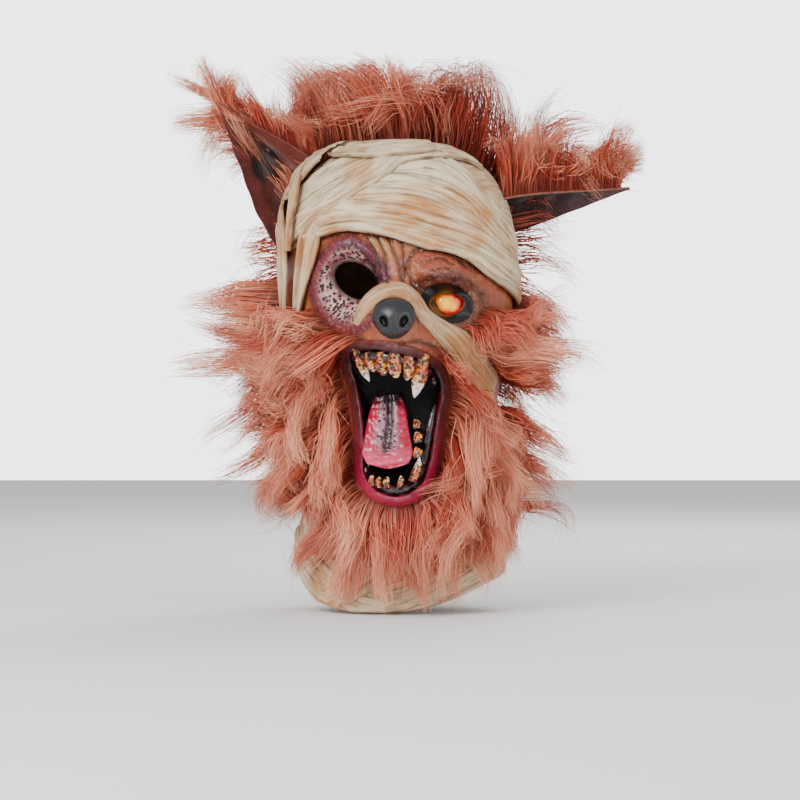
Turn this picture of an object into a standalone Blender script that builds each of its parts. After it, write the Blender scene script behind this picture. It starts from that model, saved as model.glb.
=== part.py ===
"""Werewolf mask: a hollow latex head wrapped in bandages, with glued fur.

Metres, +Z up, the face looks along -Y. The origin is where the crown of the wearer's
head touches the inside of the shell. Right and left are the wearer's: right is -X.
Turn is the angle round the head from the nose, in degrees, growing toward +X.
Drop is the way down from the crown, as a share of SHELL_HEIGHT.
"""
import math
from collections import namedtuple

import bmesh
import bpy
import numpy as np

# Driving sizes of the latex shell
HEAD_WIDTH = 0.224
HEAD_DEPTH = 0.226
SHELL_HEIGHT = 0.449
WALL = 0.0020
CLEARANCE = 0.0003
SEAT_CLEARANCE = 0.0005
SKIN_CLEARANCE = 0.0009
RING_ROUNDNESS = 2.2

# Driving sizes of the face
EYE_HOLE_WIDTH = 0.042
EYE_HOLE_HEIGHT = 0.031
EYE_HOLE_TILT = -28
LENS_RADIUS = 0.0165
LENS_DEPTH = 0.0090
NOSE_WIDTH = 0.183 * HEAD_WIDTH
NOSE_HEIGHT = 0.085 * SHELL_HEIGHT
NOSE_LENGTH = 0.150 * HEAD_DEPTH
NOSTRIL_RADIUS = 0.110 * NOSE_WIDTH
MOUTH_WIDTH = 0.384 * HEAD_WIDTH
MOUTH_HEIGHT = 0.305 * SHELL_HEIGHT
FACE_REACH = 0.407 * HEAD_DEPTH
LIP_RADIUS = 0.0042
GUM_RADIUS = 0.0042
UPPER_GUM_INSET = 0.0018
LOWER_GUM_INSET = 0.0030
TOOTH_LENGTH = 0.263 * MOUTH_HEIGHT
TONGUE_LENGTH = 0.613 * MOUTH_HEIGHT
TONGUE_WIDTH = 0.512 * MOUTH_WIDTH
TONGUE_THICKNESS = 0.010
TONGUE_SETBACK = 0.080 * HEAD_DEPTH

# Driving sizes of the ears, the bandages and the fur
EAR_LENGTH = 0.118
EAR_WIDTH = 0.080
EAR_DEPTH = 0.030
EAR_WALL = 0.0020
BANDAGE_THICKNESS = 0.0016
STRIP_RISE = 0.0012
STRIP_SEAT = 0.45
STRIP_WIDTH = 0.036
FUR_BACKING = 0.0014
FUR_LENGTH = 0.090
LOCK_WIDTH = 0.027
LOCK_DEPTH = 0.003

# Where the face's features stand: shares of HEAD_WIDTH and SHELL_HEIGHT
Spot = namedtuple("Spot", "across drop")
EYE_HOLE_SPOT = Spot(-0.190, 0.299)
LENS_SPOT = Spot(0.200, 0.347)
NOSE_SPOT = Spot(-0.022, 0.386)

# Rings of the shell from crown to hem. Drop is a share of SHELL_HEIGHT, side of
# HEAD_WIDTH, front and back of HEAD_DEPTH.
Ring = namedtuple("Ring", "drop side front back")
RINGS = [
    Ring(0.000, 0.000, 0.000, 0.000),
    Ring(0.009, 0.200, 0.185, 0.212),
    Ring(0.041, 0.350, 0.318, 0.355),
    Ring(0.095, 0.442, 0.407, 0.447),
    Ring(0.162, 0.487, 0.451, 0.495),
    Ring(0.240, 0.500, 0.469, 0.513),
    Ring(0.329, 0.496, 0.469, 0.500),
    Ring(0.429, 0.469, 0.456, 0.465),
    Ring(0.529, 0.433, 0.438, 0.411),
    Ring(0.629, 0.402, 0.420, 0.354),
    Ring(0.729, 0.388, 0.389, 0.318),
    Ring(0.818, 0.411, 0.372, 0.318),
    Ring(0.896, 0.438, 0.389, 0.354),
    Ring(1.000, 0.442, 0.425, 0.389),
]
NECK_DROP = 0.818

# The hem is lowest in front: its drop at each turn
Hem = namedtuple("Hem", "turn drop")
HEM = [
    Hem(-180, 0.850), Hem(-120, 0.855), Hem(-90, 0.880), Hem(-70, 0.935), Hem(-50, 0.980),
    Hem(-25, 1.000), Hem(0, 1.000), Hem(20, 0.983), Hem(50, 0.945), Hem(85, 0.915),
    Hem(130, 0.870), Hem(180, 0.850),
]

# Bumps and dents of the face. Across and half_across are shares of HEAD_WIDTH, drop and
# half_drop of SHELL_HEIGHT, push of HEAD_DEPTH and forward where it is positive.
Bump = namedtuple("Bump", "name across drop half_across half_drop push")
BUMPS = [
    Bump("right_brow", -0.175, 0.240, 0.190, 0.062, 0.050),
    Bump("left_brow", 0.195, 0.283, 0.180, 0.052, 0.066),
    Bump("bridge", -0.010, 0.330, 0.100, 0.085, 0.052),
    Bump("muzzle", -0.018, 0.415, 0.290, 0.120, 0.215),
    Bump("nose_seat", -0.022, 0.385, 0.160, 0.062, 0.040),
    Bump("right_socket", -0.190, 0.297, 0.150, 0.062, -0.072),
    Bump("left_socket", 0.200, 0.346, 0.120, 0.048, -0.050),
    Bump("right_cheek", -0.280, 0.408, 0.170, 0.078, 0.045),
    Bump("left_cheek", 0.295, 0.432, 0.170, 0.078, 0.052),
    Bump("jaw", 0.000, 0.600, 0.310, 0.190, 0.215),
    Bump("chin", -0.018, 0.752, 0.270, 0.100, 0.190),
]
BUMP_FADE = 0.35

# The mouth's edge from its right upper corner over the upper lip and round, as shares of
# MOUTH_WIDTH and MOUTH_HEIGHT from the mouth's centre
MOUTH_ACROSS = -0.013
MOUTH_DROP = 0.600
Rim = namedtuple("Rim", "across rise")
MOUTH_RIM = [
    Rim(-0.500, 0.485), Rim(-0.290, 0.507), Rim(-0.020, 0.485), Rim(0.255, 0.438),
    Rim(0.442, 0.347), Rim(0.490, 0.197), Rim(0.430, -0.015), Rim(0.395, -0.153),
    Rim(0.345, -0.312), Rim(0.235, -0.437), Rim(0.012, -0.497), Rim(-0.220, -0.458),
    Rim(-0.362, -0.340), Rim(-0.362, -0.153), Rim(-0.395, 0.058), Rim(-0.445, 0.263),
    Rim(-0.508, 0.395),
]

# Teeth: across is a share of MOUTH_WIDTH from the mouth's centre, length of TOOTH_LENGTH,
# width of TOOTH_LENGTH too
Tooth = namedtuple("Tooth", "across length width")
UPPER_TEETH = [
    Tooth(-0.375, 0.78, 0.30), Tooth(-0.265, 0.48, 0.22), Tooth(-0.145, 0.52, 0.25),
    Tooth(-0.025, 0.55, 0.27), Tooth(0.120, 0.52, 0.25), Tooth(0.265, 1.00, 0.34),
]
# The lower teeth stand on the mouth's edge: place is the row of MOUTH_RIM, counted from 0
# and with fractions, at which each one stands
Place = namedtuple("Place", "place length width")
LOWER_TEETH = [
    Place(6.35, 0.28, 0.20), Place(7.05, 0.28, 0.20), Place(7.75, 0.30, 0.20),
    Place(8.60, 0.58, 0.26), Place(9.55, 0.30, 0.18), Place(9.95, 0.30, 0.18),
    Place(10.35, 0.30, 0.18), Place(10.80, 0.30, 0.18), Place(11.60, 0.40, 0.20),
]

# The ear from its root to its tip: along is a share of EAR_LENGTH, lower and upper half
# widths of EAR_WIDTH, hollow of EAR_DEPTH
EarRow = namedtuple("EarRow", "along lower upper hollow")
EAR_ROWS = [
    EarRow(-0.42, 0.57, 0.50, 1.00), EarRow(-0.18, 0.53, 0.52, 1.00),
    EarRow(0.04, 0.47, 0.51, 1.00), EarRow(0.28, 0.37, 0.42, 0.92),
    EarRow(0.50, 0.25, 0.29, 0.72), EarRow(0.68, 0.16, 0.18, 0.48),
    EarRow(0.86, 0.07, 0.08, 0.22), EarRow(1.00, 0.015, 0.015, 0.04),
]
# Where each ear stands: root as shares of HEAD_WIDTH, HEAD_DEPTH and SHELL_HEIGHT, the
# direction to its tip, and the direction that its hollow opens to
Ear = namedtuple("Ear", "name across depth drop tip opens hollow")
EARS = [
    Ear("right_ear", -0.478, 0.020, 0.104, (-0.62, -0.02, 0.78), (-0.10, -0.97, -0.10), 1.0),
    Ear("left_ear", 0.495, 0.030, 0.148, (0.975, -0.05, 0.223), (0.10, -0.36, -0.92), 0.60),
]

# Strips wound over the head: a centre line of turns, drops and widths. Widths are shares
# of STRIP_WIDTH, and layer is the strip's height over the base wrap in STRIP_RISE.
Strip = namedtuple("Strip", "name layer path")
HEAD_STRIPS = [
    Strip("brow", 1.0, [(-62, .182, 1.0), (-40, .162, 1.0), (-20, .155, 1.0), (0, .172, 1.0),
                        (23, .200, 1.0), (45, .240, 1.0), (70, .262, 1.0), (94, .255, 1.0)]),
    Strip("rising", 2.2, [(-94, .170, 0.9), (-50, .112, 1.0), (0, .060, 0.9), (36, .036, 0.7)]),
    Strip("hanging_outer", 2.8, [(-80, .180, 0.40), (-80, .270, 0.36), (-74, .378, 0.28)]),
]
NOSE_STRIP = Strip("nose", 0, [(-21, .376, 0.24), (-14, .343, 0.40), (-6, .324, 0.44),
                               (1, .324, 0.46), (7, .346, 0.40), (14, .382, 0.46),
                               (25, .420, 0.66), (38, .460, 0.90), (54, .508, 0.90)])
NECK_STRIPS = [
    Strip("falling", 1.0, [(-110, .800, 0.9), (-75, .820, 1.0), (-45, .890, 1.0),
                           (-10, .950, 0.9), (25, .958, 0.7)]),
]
# Upper edges of the wrapped stretches of the shell: drop at each turn
BROW_EDGE = [(-100, .240), (-62, .228), (-53, .224), (-39, .202), (-23, .197), (0, .213),
             (23, .240), (41, .277), (68, .304), (100, .292)]
NECK_EDGE = [(-180, .720), (-100, .780), (-60, .812), (-35, .862), (0, .882), (35, .862),
             (60, .812), (100, .780), (180, .720)]

# Fur: each backing is a stretch of turns and drops. Its locks are rows of a root, given
# by turn and drop, and of a reach across, in depth and upward, in shares of FUR_LENGTH.
Lock = namedtuple("Lock", "turn drop across depth rise")
Patch = namedtuple("Patch", "name turns drops")
CROWN_PATCH = Patch("crown_fur", (104, 256), (0.001, 0.145))
BACK_PATCH = Patch("back_fur", (104, 256), (0.155, 0.690))
RIGHT_PATCH = Patch("right_cheek_fur", (-98, -40), (0.375, 0.770))
LEFT_PATCH = Patch("left_cheek_fur", (58, 98), (0.325, 0.770))
BEARD_PATCH = Patch("beard_fur", (-38, 38), (0.765, 0.860))
CROWN_LOCKS = [
    Lock(-130, .060, -0.34, 0.05, 1.02), Lock(-148, .030, -0.36, 0.10, 0.95),
    Lock(-165, .024, -0.34, 0.12, 0.96), Lock(180, .022, -0.22, 0.15, 1.00),
    Lock(165, .022, -0.12, 0.10, 0.84), Lock(150, .030, 0.05, 0.10, 0.83),
    Lock(140, .045, 0.04, 0.06, 1.00), Lock(130, .060, 0.20, 0.05, 1.08),
    Lock(122, .085, 0.32, 0.05, 1.08), Lock(115, .110, 0.46, 0.05, 1.02),
    Lock(109, .138, 0.60, 0.05, 0.96), Lock(-118, .090, -0.24, 0.06, 0.84),
    Lock(-150, .080, -0.20, 0.45, 0.70), Lock(155, .080, 0.05, 0.50, 0.70),
]
RIGHT_LOCKS = [
    Lock(-78, .392, -0.76, -0.05, 0.22), Lock(-88, .410, -0.86, 0.02, 0.06),
    Lock(-88, .450, -0.84, 0.05, -0.05), Lock(-84, .490, -0.80, 0.00, -0.18),
    Lock(-82, .540, -0.72, 0.00, -0.30), Lock(-80, .590, -0.60, -0.05, -0.34),
    Lock(-74, .650, -0.36, -0.05, -0.42), Lock(-64, .430, -0.60, -0.30, -0.20),
    Lock(-58, .500, -0.48, -0.34, -0.32), Lock(-54, .580, -0.32, -0.36, -0.42),
    Lock(-52, .670, -0.22, -0.34, -0.48), Lock(-62, .735, -0.18, -0.25, -0.50),
]
LEFT_LOCKS = [
    Lock(80, .345, 0.50, -0.05, 0.02), Lock(84, .390, 0.66, 0.00, -0.12),
    Lock(84, .440, 0.72, 0.02, -0.22), Lock(82, .500, 0.68, 0.00, -0.26),
    Lock(80, .560, 0.66, 0.00, -0.30), Lock(78, .620, 0.60, -0.05, -0.34),
    Lock(76, .690, 0.56, -0.05, -0.52), Lock(68, .480, 0.40, -0.30, -0.25),
    Lock(66, .560, 0.34, -0.34, -0.32), Lock(66, .640, 0.26, -0.32, -0.42),
    Lock(68, .725, 0.22, -0.25, -0.55),
]
BEARD_LOCKS = [
    Lock(-35, .820, -0.24, -0.25, -0.36), Lock(-26, .836, -0.20, -0.28, -0.56),
    Lock(-15, .838, -0.14, -0.30, -0.58), Lock(-4, .838, 0.02, -0.30, -0.60),
    Lock(7, .838, 0.10, -0.30, -0.52), Lock(18, .836, 0.20, -0.28, -0.46),
    Lock(29, .830, 0.30, -0.26, -0.34), Lock(35, .815, 0.40, -0.20, -0.26),
]
# Rows of nape locks, worked out by a loop: the turns of each row and its drops
BACK_LOCK_TURNS = (122, 161, 199, 238)
BACK_LOCK_DROPS = (0.22, 0.40, 0.56)
# Locks of an ear's fur: along and aside on the ear, as shares of EAR_LENGTH and EAR_WIDTH,
# and a reach in shares of FUR_LENGTH across, in depth and upward
EarLock = namedtuple("EarLock", "along aside across depth rise")
RIGHT_EAR_LOCKS = [
    EarLock(0.80, 0.00, -0.48, 0.15, 0.02), EarLock(0.70, -0.04, -0.62, 0.12, 0.30),
    EarLock(0.56, -0.12, -0.62, 0.10, 0.55), EarLock(0.42, -0.24, -0.48, 0.10, 0.76),
    EarLock(0.26, -0.34, -0.28, 0.10, 0.72), EarLock(0.50, 0.06, -0.80, 0.20, -0.10),
]
LEFT_EAR_LOCKS = [
    EarLock(0.10, -0.26, 0.06, 0.15, 0.86), EarLock(0.30, -0.22, 0.10, 0.12, 0.92),
    EarLock(0.48, -0.14, 0.22, 0.10, 0.74), EarLock(0.64, -0.06, 0.36, 0.10, 0.58),
    EarLock(0.20, 0.20, 0.20, 0.45, -0.35), EarLock(0.45, 0.12, 0.30, 0.45, -0.20),
]

SHELL_COLUMNS = 24
SHELL_LINES = (0.001, 0.010, 0.036, 0.085, 0.145, 0.200, 0.245, 0.285, 0.315, 0.345, 0.375,
               0.410, 0.460, 0.530, 0.620, 0.710, 0.775, 0.830, 0.900, 1.000)
LOCK_SIDES = 3
MOUTH_STATIONS = 24
LIP_TURNS = (-60, 0, 60, 120, 180)
FRONT_DENSITY = 0.46
PATCH_MARGIN = 0.006
STRIP_TURN = 14
STRIP_DROP = 0.09
STRIP_COLUMN = 0.030


def catmull_rom(rows, level):
    """Rows of a table read at fractional levels, on a smooth curve through every row."""
    rows = np.asarray(rows, float)
    last = len(rows) - 1
    level = np.clip(np.asarray(level, float), 0, last)
    start = np.minimum(level.astype(int), last - 1)
    part = (level - start)[..., None]
    before = rows[np.maximum(start - 1, 0)]
    here = rows[start]
    after = rows[start + 1]
    beyond = rows[np.minimum(start + 2, last)]
    return 0.5 * (2 * here + (after - before) * part
                  + (2 * before - 5 * here + 4 * after - beyond) * part ** 2
                  + (3 * here - before - 3 * after + beyond) * part ** 3)


LEVELS = np.linspace(0, len(RINGS) - 1, 400)
LEVEL_DROPS = catmull_rom(RINGS, LEVELS)[:, 0]


def push_forward(x, z):
    """How far the face stands forward of the plain head at x, z: the sum of the bumps."""
    push = np.zeros(np.broadcast(x, z).shape)
    for bump in BUMPS:
        across = (x / HEAD_WIDTH - bump.across) / bump.half_across
        down = ((WALL - z) / SHELL_HEIGHT - bump.drop) / bump.half_drop
        inside = np.clip(1 - across ** 2 - down ** 2, 0, None)
        push = push + bump.push * HEAD_DEPTH * inside ** 2
    return push


def skin_raw(turn, drop):
    """Point of the shell's outer face at a turn in degrees and a drop."""
    turn, drop = np.broadcast_arrays(np.asarray(turn, float), np.asarray(drop, float))
    ring = catmull_rom(RINGS, np.interp(drop, LEVEL_DROPS, LEVELS))
    angle = np.radians(turn)
    sine, cosine = np.sin(angle), np.cos(angle)
    power = 2 / RING_ROUNDNESS
    x = HEAD_WIDTH * ring[..., 1] * np.sign(sine) * np.abs(sine) ** power
    reach = HEAD_DEPTH * np.where(cosine > 0, ring[..., 2], ring[..., 3])
    y = -reach * np.sign(cosine) * np.abs(cosine) ** power
    wrapped = (turn + 180) % 360 - 180
    hem = np.interp(wrapped, [row.turn for row in HEM], [row.drop for row in HEM])
    below = np.clip(drop - NECK_DROP, 0, None) * (hem - NECK_DROP) / (1 - NECK_DROP)
    z = WALL - SHELL_HEIGHT * (np.minimum(drop, NECK_DROP) + below)
    fade = np.clip(cosine / BUMP_FADE, 0, 1)
    y = y - push_forward(x, z) * fade * fade * (3 - 2 * fade)
    return np.stack([x, y, z], -1)


def skin(turn, drop, out=0.0):
    """Point at a distance out from the shell's outer face, along its normal."""
    step_turn, step_drop, lowest = 0.5, 0.002, 0.004
    drop = np.asarray(drop, float)
    point = skin_raw(turn, drop)
    around = skin_raw(np.asarray(turn) + step_turn, np.maximum(drop, lowest))
    around = around - skin_raw(np.asarray(turn) - step_turn, np.maximum(drop, lowest))
    downward = skin_raw(turn, np.clip(drop + step_drop, 2 * step_drop, 1))
    downward = downward - skin_raw(turn, np.clip(drop - step_drop, step_drop / 2, 1))
    normal = np.cross(downward, around)
    normal = normal / np.linalg.norm(normal, axis=-1, keepdims=True)
    return point + normal * out


def front_depth(x, z):
    """The y of the face at x, z, on the front half of the shell."""
    drop = (WALL - z) / SHELL_HEIGHT
    ring = catmull_rom(RINGS, np.interp(drop, LEVEL_DROPS, LEVELS))
    share = np.clip(np.abs(x) / (HEAD_WIDTH * ring[..., 1]), 0, 0.999)
    plain = HEAD_DEPTH * ring[..., 2] * (1 - share ** RING_ROUNDNESS) ** (1 / RING_ROUNDNESS)
    return -plain - push_forward(x, z)


def material(name, colour, roughness, metallic=0.0):
    """A Principled material from an sRGB hex colour."""
    made = bpy.data.materials.new(name)
    made.use_nodes = True
    parts = [int(colour[i:i + 2], 16) / 255 for i in (1, 3, 5)]
    linear = [p / 12.92 if p <= 0.04045 else ((p + 0.055) / 1.055) ** 2.4 for p in parts]
    shader = made.node_tree.nodes["Principled BSDF"]
    shader.inputs["Base Color"].default_value = (*linear, 1)
    shader.inputs["Roughness"].default_value = roughness
    shader.inputs["Metallic"].default_value = metallic
    return made


def new_object(name, points, faces):
    """A closed mesh whose faces are turned outward, kept as a cutter until it is finished."""
    mesh = bpy.data.meshes.new(name)
    mesh.from_pydata([tuple(map(float, p)) for p in points], [], faces)
    work = bmesh.new()
    work.from_mesh(mesh)
    bmesh.ops.recalc_face_normals(work, faces=work.faces)
    work.to_mesh(mesh)
    work.free()
    return as_cutter(bpy.data.objects.new(name, mesh))


def as_cutter(made):
    """Keep an object out of the model: it only shapes other pieces."""
    CUTTERS.objects.link(made)
    made.hide_render = True
    made.display_type = "WIRE"
    return made


def split(a, b, c, d, other=False):
    """The two triangles of a four-cornered face, over one or the other diagonal."""
    return [(a, b, d), (b, c, d)] if other else [(a, b, c), (a, c, d)]


def loft(name, rings):
    """A closed body through rings of points, with a fan of faces over each end."""
    rings = np.asarray(rings, float)
    count, sides = rings.shape[:2]
    points = np.concatenate([rings.reshape(-1, 3), rings[[0, -1]].mean(1)])
    first, last = count * sides, count * sides + 1
    faces = []
    for i in range(sides):
        j = (i + 1) % sides
        for k in range(count - 1):
            faces += split(k * sides + i, k * sides + j, (k + 1) * sides + j, (k + 1) * sides + i)
        faces.append((first, j, i))
        faces.append((last, (count - 1) * sides + i, (count - 1) * sides + j))
    return new_object(name, points, faces)


def slab(name, inner, outer):
    """A closed body between two grids of points, which lie one over the other.

    Both grids are split over the same diagonals as the shell, so what lies on the shell
    keeps its distance over every facet.
    """
    rows, columns = inner.shape[:2]
    rings = []
    for k in range(rows):
        rings.append(np.concatenate([outer[k], inner[k, ::-1]]))
    rings = np.asarray(rings)
    sides = 2 * columns
    points = rings.reshape(-1, 3)
    faces = []
    for i in range(sides):
        j = (i + 1) % sides
        for k in range(rows - 1):
            faces += split(k * sides + i, k * sides + j, (k + 1) * sides + j,
                           (k + 1) * sides + i, i >= columns)
    for k in (0, rows - 1):
        for i in range(columns - 1):
            faces += split(k * sides + i, k * sides + i + 1,
                           k * sides + sides - 2 - i, k * sides + sides - 1 - i)
    return new_object(name, points, faces)


def sleeve(name, inner, outer):
    """A closed band all round between two grids of points, open at top and bottom."""
    rows, columns = inner.shape[:2]
    rings = np.concatenate([outer, inner[::-1]])
    count = 2 * rows
    faces = []
    for k in range(count):
        above, below = k * columns, (k + 1) % count * columns
        for i in range(columns):
            j = (i + 1) % columns
            faces += split(above + i, above + j, below + j, below + i, k >= rows)
    return new_object(name, rings.reshape(-1, 3), faces)


def shell_turns():
    """The turns of the shell's upright grid lines, closer together in front."""
    share = np.linspace(-1, 1, SHELL_COLUMNS, endpoint=False)
    return 180 * (share - FRONT_DENSITY * np.sin(np.pi * share) / np.pi)


def shell_drops():
    """The drops of the shell's level grid lines, closer together at crown and face."""
    return np.array(SHELL_LINES)


def lines_between(lines, first, last):
    """The grid lines that lie between two places, and the places themselves are left out."""
    return lines[(lines >= first) & (lines <= last)]


def shell_grid(out):
    """Closed rings of the shell's skin from the crown to the hem."""
    return skin(shell_turns()[None, :], shell_drops()[:, None], out)


def cut(target, cutter):
    """Take the cutter's body away from the target."""
    return boolean(target, cutter, "DIFFERENCE")


def join(target, other):
    """Fuse the other body to the target."""
    return boolean(target, other, "UNION")


def boolean(target, other, operation):
    """Apply one Boolean and keep its mesh.

    Thin walls follow each other so closely here that the exact solver loses whole
    bodies, so the manifold solver joins and cuts them. Every mesh given to it is closed.
    """
    modifier = target.modifiers.new(operation.lower(), "BOOLEAN")
    modifier.operation = operation
    modifier.solver = "MANIFOLD"
    modifier.object = other
    return bake(target)


def bake(target):
    """Replace the object's mesh by its evaluated one."""
    graph = bpy.context.evaluated_depsgraph_get()
    graph.update()
    mesh = bpy.data.meshes.new_from_object(target.evaluated_get(graph))
    target.modifiers.clear()
    target.data = mesh
    return target


def largest_body(target):
    """Keep the biggest of the target's loose bodies: crumbs left by a cut go."""
    work = bmesh.new()
    work.from_mesh(target.data)
    left = set(work.verts)
    bodies = []
    while left:
        stack = [left.pop()]
        body = set(stack)
        while stack:
            for edge in stack.pop().link_edges:
                for vert in edge.verts:
                    if vert in left:
                        left.discard(vert)
                        body.add(vert)
                        stack.append(vert)
        bodies.append(body)
    bodies.sort(key=len)
    crumbs = [vert for body in bodies[:-1] for vert in body]
    bmesh.ops.delete(work, geom=crumbs, context="VERTS")
    work.to_mesh(target.data)
    work.free()
    return target


def finish(target, made_of):
    """Give a piece its material and put it with the mask's pieces."""
    target.data.materials.clear()
    target.data.materials.append(made_of)
    for collection in list(target.users_collection):
        collection.objects.unlink(target)
    PIECES.objects.link(target)
    target.hide_render = False
    target.display_type = "TEXTURED"
    return target


def head_block(name, out):
    """The whole head as one closed body, for cutting what sits on the skin."""
    grid = shell_grid(out)
    skirt = grid[-1] - (0, 0, 0.1 * SHELL_HEIGHT)
    return loft(name, np.concatenate([grid, skirt[None]]))


def mouth_loop(count, grow):
    """Points x, z round the mouth's edge, moved outward by grow."""
    rims = [(rim.across * MOUTH_WIDTH, rim.rise * MOUTH_HEIGHT) for rim in MOUTH_RIM]
    closed = [rims[-1], *rims, rims[0], rims[1]]
    level = 1 + np.linspace(0, len(rims), count, endpoint=False)
    flat = catmull_rom(closed, level)
    along = catmull_rom(closed, level + 0.02) - catmull_rom(closed, level - 0.02)
    along = along / np.linalg.norm(along, axis=-1, keepdims=True)
    outward = np.stack([-along[:, 1], along[:, 0]], -1)
    centre = (MOUTH_ACROSS * HEAD_WIDTH, WALL - MOUTH_DROP * SHELL_HEIGHT)
    return flat + outward * grow + centre


def mouth_wall(count, grow):
    """Rings of the mouth's pocket from its lips back into the head."""
    edge = mouth_loop(count, 0)
    lip = front_depth(edge[:, 0], edge[:, 1])
    centre = edge.mean(0)
    rings = []
    for share, shrink in ((0.0, 0.0), (0.45, 0.01), (0.80, 0.06), (1.0, 0.25)):
        flat = mouth_loop(count, grow)
        flat = flat + (centre - flat) * shrink
        depth = lip + (-FACE_REACH - lip) * share
        rings.append(np.stack([flat[:, 0], depth, flat[:, 1]], -1))
    return np.asarray(rings)


def ellipsoid(name, centre, half, segments, rings):
    """A UV sphere stretched to half sizes along x, y and z."""
    work = bmesh.new()
    bmesh.ops.create_uvsphere(work, u_segments=segments, v_segments=rings, radius=1.0)
    bmesh.ops.scale(work, vec=half, verts=work.verts)
    bmesh.ops.translate(work, vec=centre, verts=work.verts)
    mesh = bpy.data.meshes.new(name)
    work.to_mesh(mesh)
    work.free()
    return as_cutter(bpy.data.objects.new(name, mesh))


def tapered(name, path, radii, sides, squash=1.0):
    """A closed body along a path, with a round or squashed section of given radii."""
    path = np.asarray(path, float)
    along = np.gradient(path, axis=0)
    along /= np.linalg.norm(along, axis=-1, keepdims=True)
    helper = np.array([0, 0, 1.0]) if abs(along[0, 2]) < 0.8 else np.array([0, 1.0, 0])
    side = np.cross(along, helper)
    for k in range(1, len(path)):
        side[k] = side[k - 1] - along[k] * np.dot(side[k - 1], along[k])
        side[k] /= np.linalg.norm(side[k])
    side[0] /= np.linalg.norm(side[0])
    other = np.cross(side, along)
    angle = 2 * np.pi * np.arange(sides) / sides
    radii = np.asarray(radii)[:, None, None]
    rings = path[:, None] + radii * (np.cos(angle)[None, :, None] * side[:, None]
                                     + squash * np.sin(angle)[None, :, None] * other[:, None])
    return loft(name, rings)


def spot_on_face(spot):
    """The point x, y, z of the face at a named spot."""
    x = spot.across * HEAD_WIDTH
    z = WALL - spot.drop * SHELL_HEIGHT
    return x, float(front_depth(np.array(x), np.array(z))), z


def make_eyeball(name, grow=0.0):
    """The lens: a flattened ball seated in the shell, a little wider than it is high."""
    x, depth, z = spot_on_face(LENS_SPOT)
    half = (LENS_RADIUS + grow, LENS_DEPTH + grow, 0.86 * LENS_RADIUS + grow)
    return ellipsoid(name, (x, depth + 0.5 * LENS_DEPTH, z), half, 14, 8)


def make_shell():
    """The hollow latex skin with its eye hole, eye seat and mouth."""
    shell = loft("mask_shell", np.concatenate([shell_grid(0), shell_grid(-WALL)[::-1]]))
    x, depth, z = spot_on_face(EYE_HOLE_SPOT)
    tilt = math.radians(EYE_HOLE_TILT)
    hole = []
    for depth in (-HEAD_DEPTH, -0.25 * HEAD_DEPTH):
        angle = 2 * np.pi * np.arange(14) / 14
        along = EYE_HOLE_WIDTH / 2 * np.cos(angle)
        across = EYE_HOLE_HEIGHT / 2 * np.sin(angle)
        hole.append(np.stack([x + along * math.cos(tilt) - across * math.sin(tilt),
                              np.full(14, depth),
                              z + along * math.sin(tilt) + across * math.cos(tilt)], -1))
    cut(shell, loft("eye_hole", hole))
    cut(shell, make_eyeball("eye_seat", CLEARANCE))
    edge = mouth_loop(MOUTH_STATIONS, 2 * LIP_RADIUS + CLEARANCE)
    prism = [np.stack([edge[:, 0], np.full(MOUTH_STATIONS, depth), edge[:, 1]], -1)
             for depth in (-1.2 * HEAD_DEPTH, -0.2 * HEAD_DEPTH)]
    cut(shell, loft("mouth_hole", prism))
    return largest_body(shell)


def make_mouth_lining():
    """Lips and pocket in one: a bowl behind a rolled lip that fills the shell's mouth."""
    outer = mouth_wall(MOUTH_STATIONS, WALL)
    inner = mouth_wall(MOUTH_STATIONS, 0)
    outer[-1][:, 1] += WALL
    lip = []
    for turn in LIP_TURNS:
        flat = mouth_loop(MOUTH_STATIONS, LIP_RADIUS * (1 + math.cos(math.radians(turn))))
        depth = front_depth(flat[:, 0], flat[:, 1]) - LIP_RADIUS * math.sin(math.radians(turn))
        lip.append(np.stack([flat[:, 0], depth, flat[:, 1]], -1))
    return loft("mouth_lining", np.concatenate([outer[:0:-1], lip, inner[1:]]))


def pocket_space(shrink):
    """The room inside the mouth's pocket, smaller by a clearance all round."""
    inner = mouth_wall(MOUTH_STATIONS, -shrink)
    inner[-1][:, 1] -= shrink
    return loft("pocket_space", np.concatenate([inner[:1] - (0, HEAD_DEPTH, 0), inner]))


def gum_path(levels, inset):
    """Line of a gum: inset from the mouth's edge and a little behind the lips."""
    rims = [(rim.across * MOUTH_WIDTH, rim.rise * MOUTH_HEIGHT) for rim in MOUTH_RIM]
    closed = [rims[-1], *rims, rims[0], rims[1]]
    levels = np.asarray(levels, float)
    flat = catmull_rom(closed, 1 + levels)
    along = catmull_rom(closed, 1.02 + levels) - catmull_rom(closed, 0.98 + levels)
    along = along / np.linalg.norm(along, axis=-1, keepdims=True)
    inward = np.stack([along[:, 1], -along[:, 0]], -1)
    centre = (MOUTH_ACROSS * HEAD_WIDTH, WALL - MOUTH_DROP * SHELL_HEIGHT)
    lip = flat + centre
    depth = front_depth(lip[:, 0], lip[:, 1])
    flat = lip + inward * (GUM_RADIUS + inset)
    return np.stack([flat[:, 0], depth + LIP_RADIUS + GUM_RADIUS, flat[:, 1]], -1)


def tooth(root, direction, length, width):
    """One tooth: a four-sided peg that narrows to a blunt tip."""
    direction = np.asarray(direction, float)
    direction /= np.linalg.norm(direction)
    shares = np.array([0.0, 0.45, 0.92])
    path = root + direction * (length * shares)[:, None]
    return tapered("tooth", path, np.array([0.90, 0.92, 0.28]) * width / 2, 4)


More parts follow.
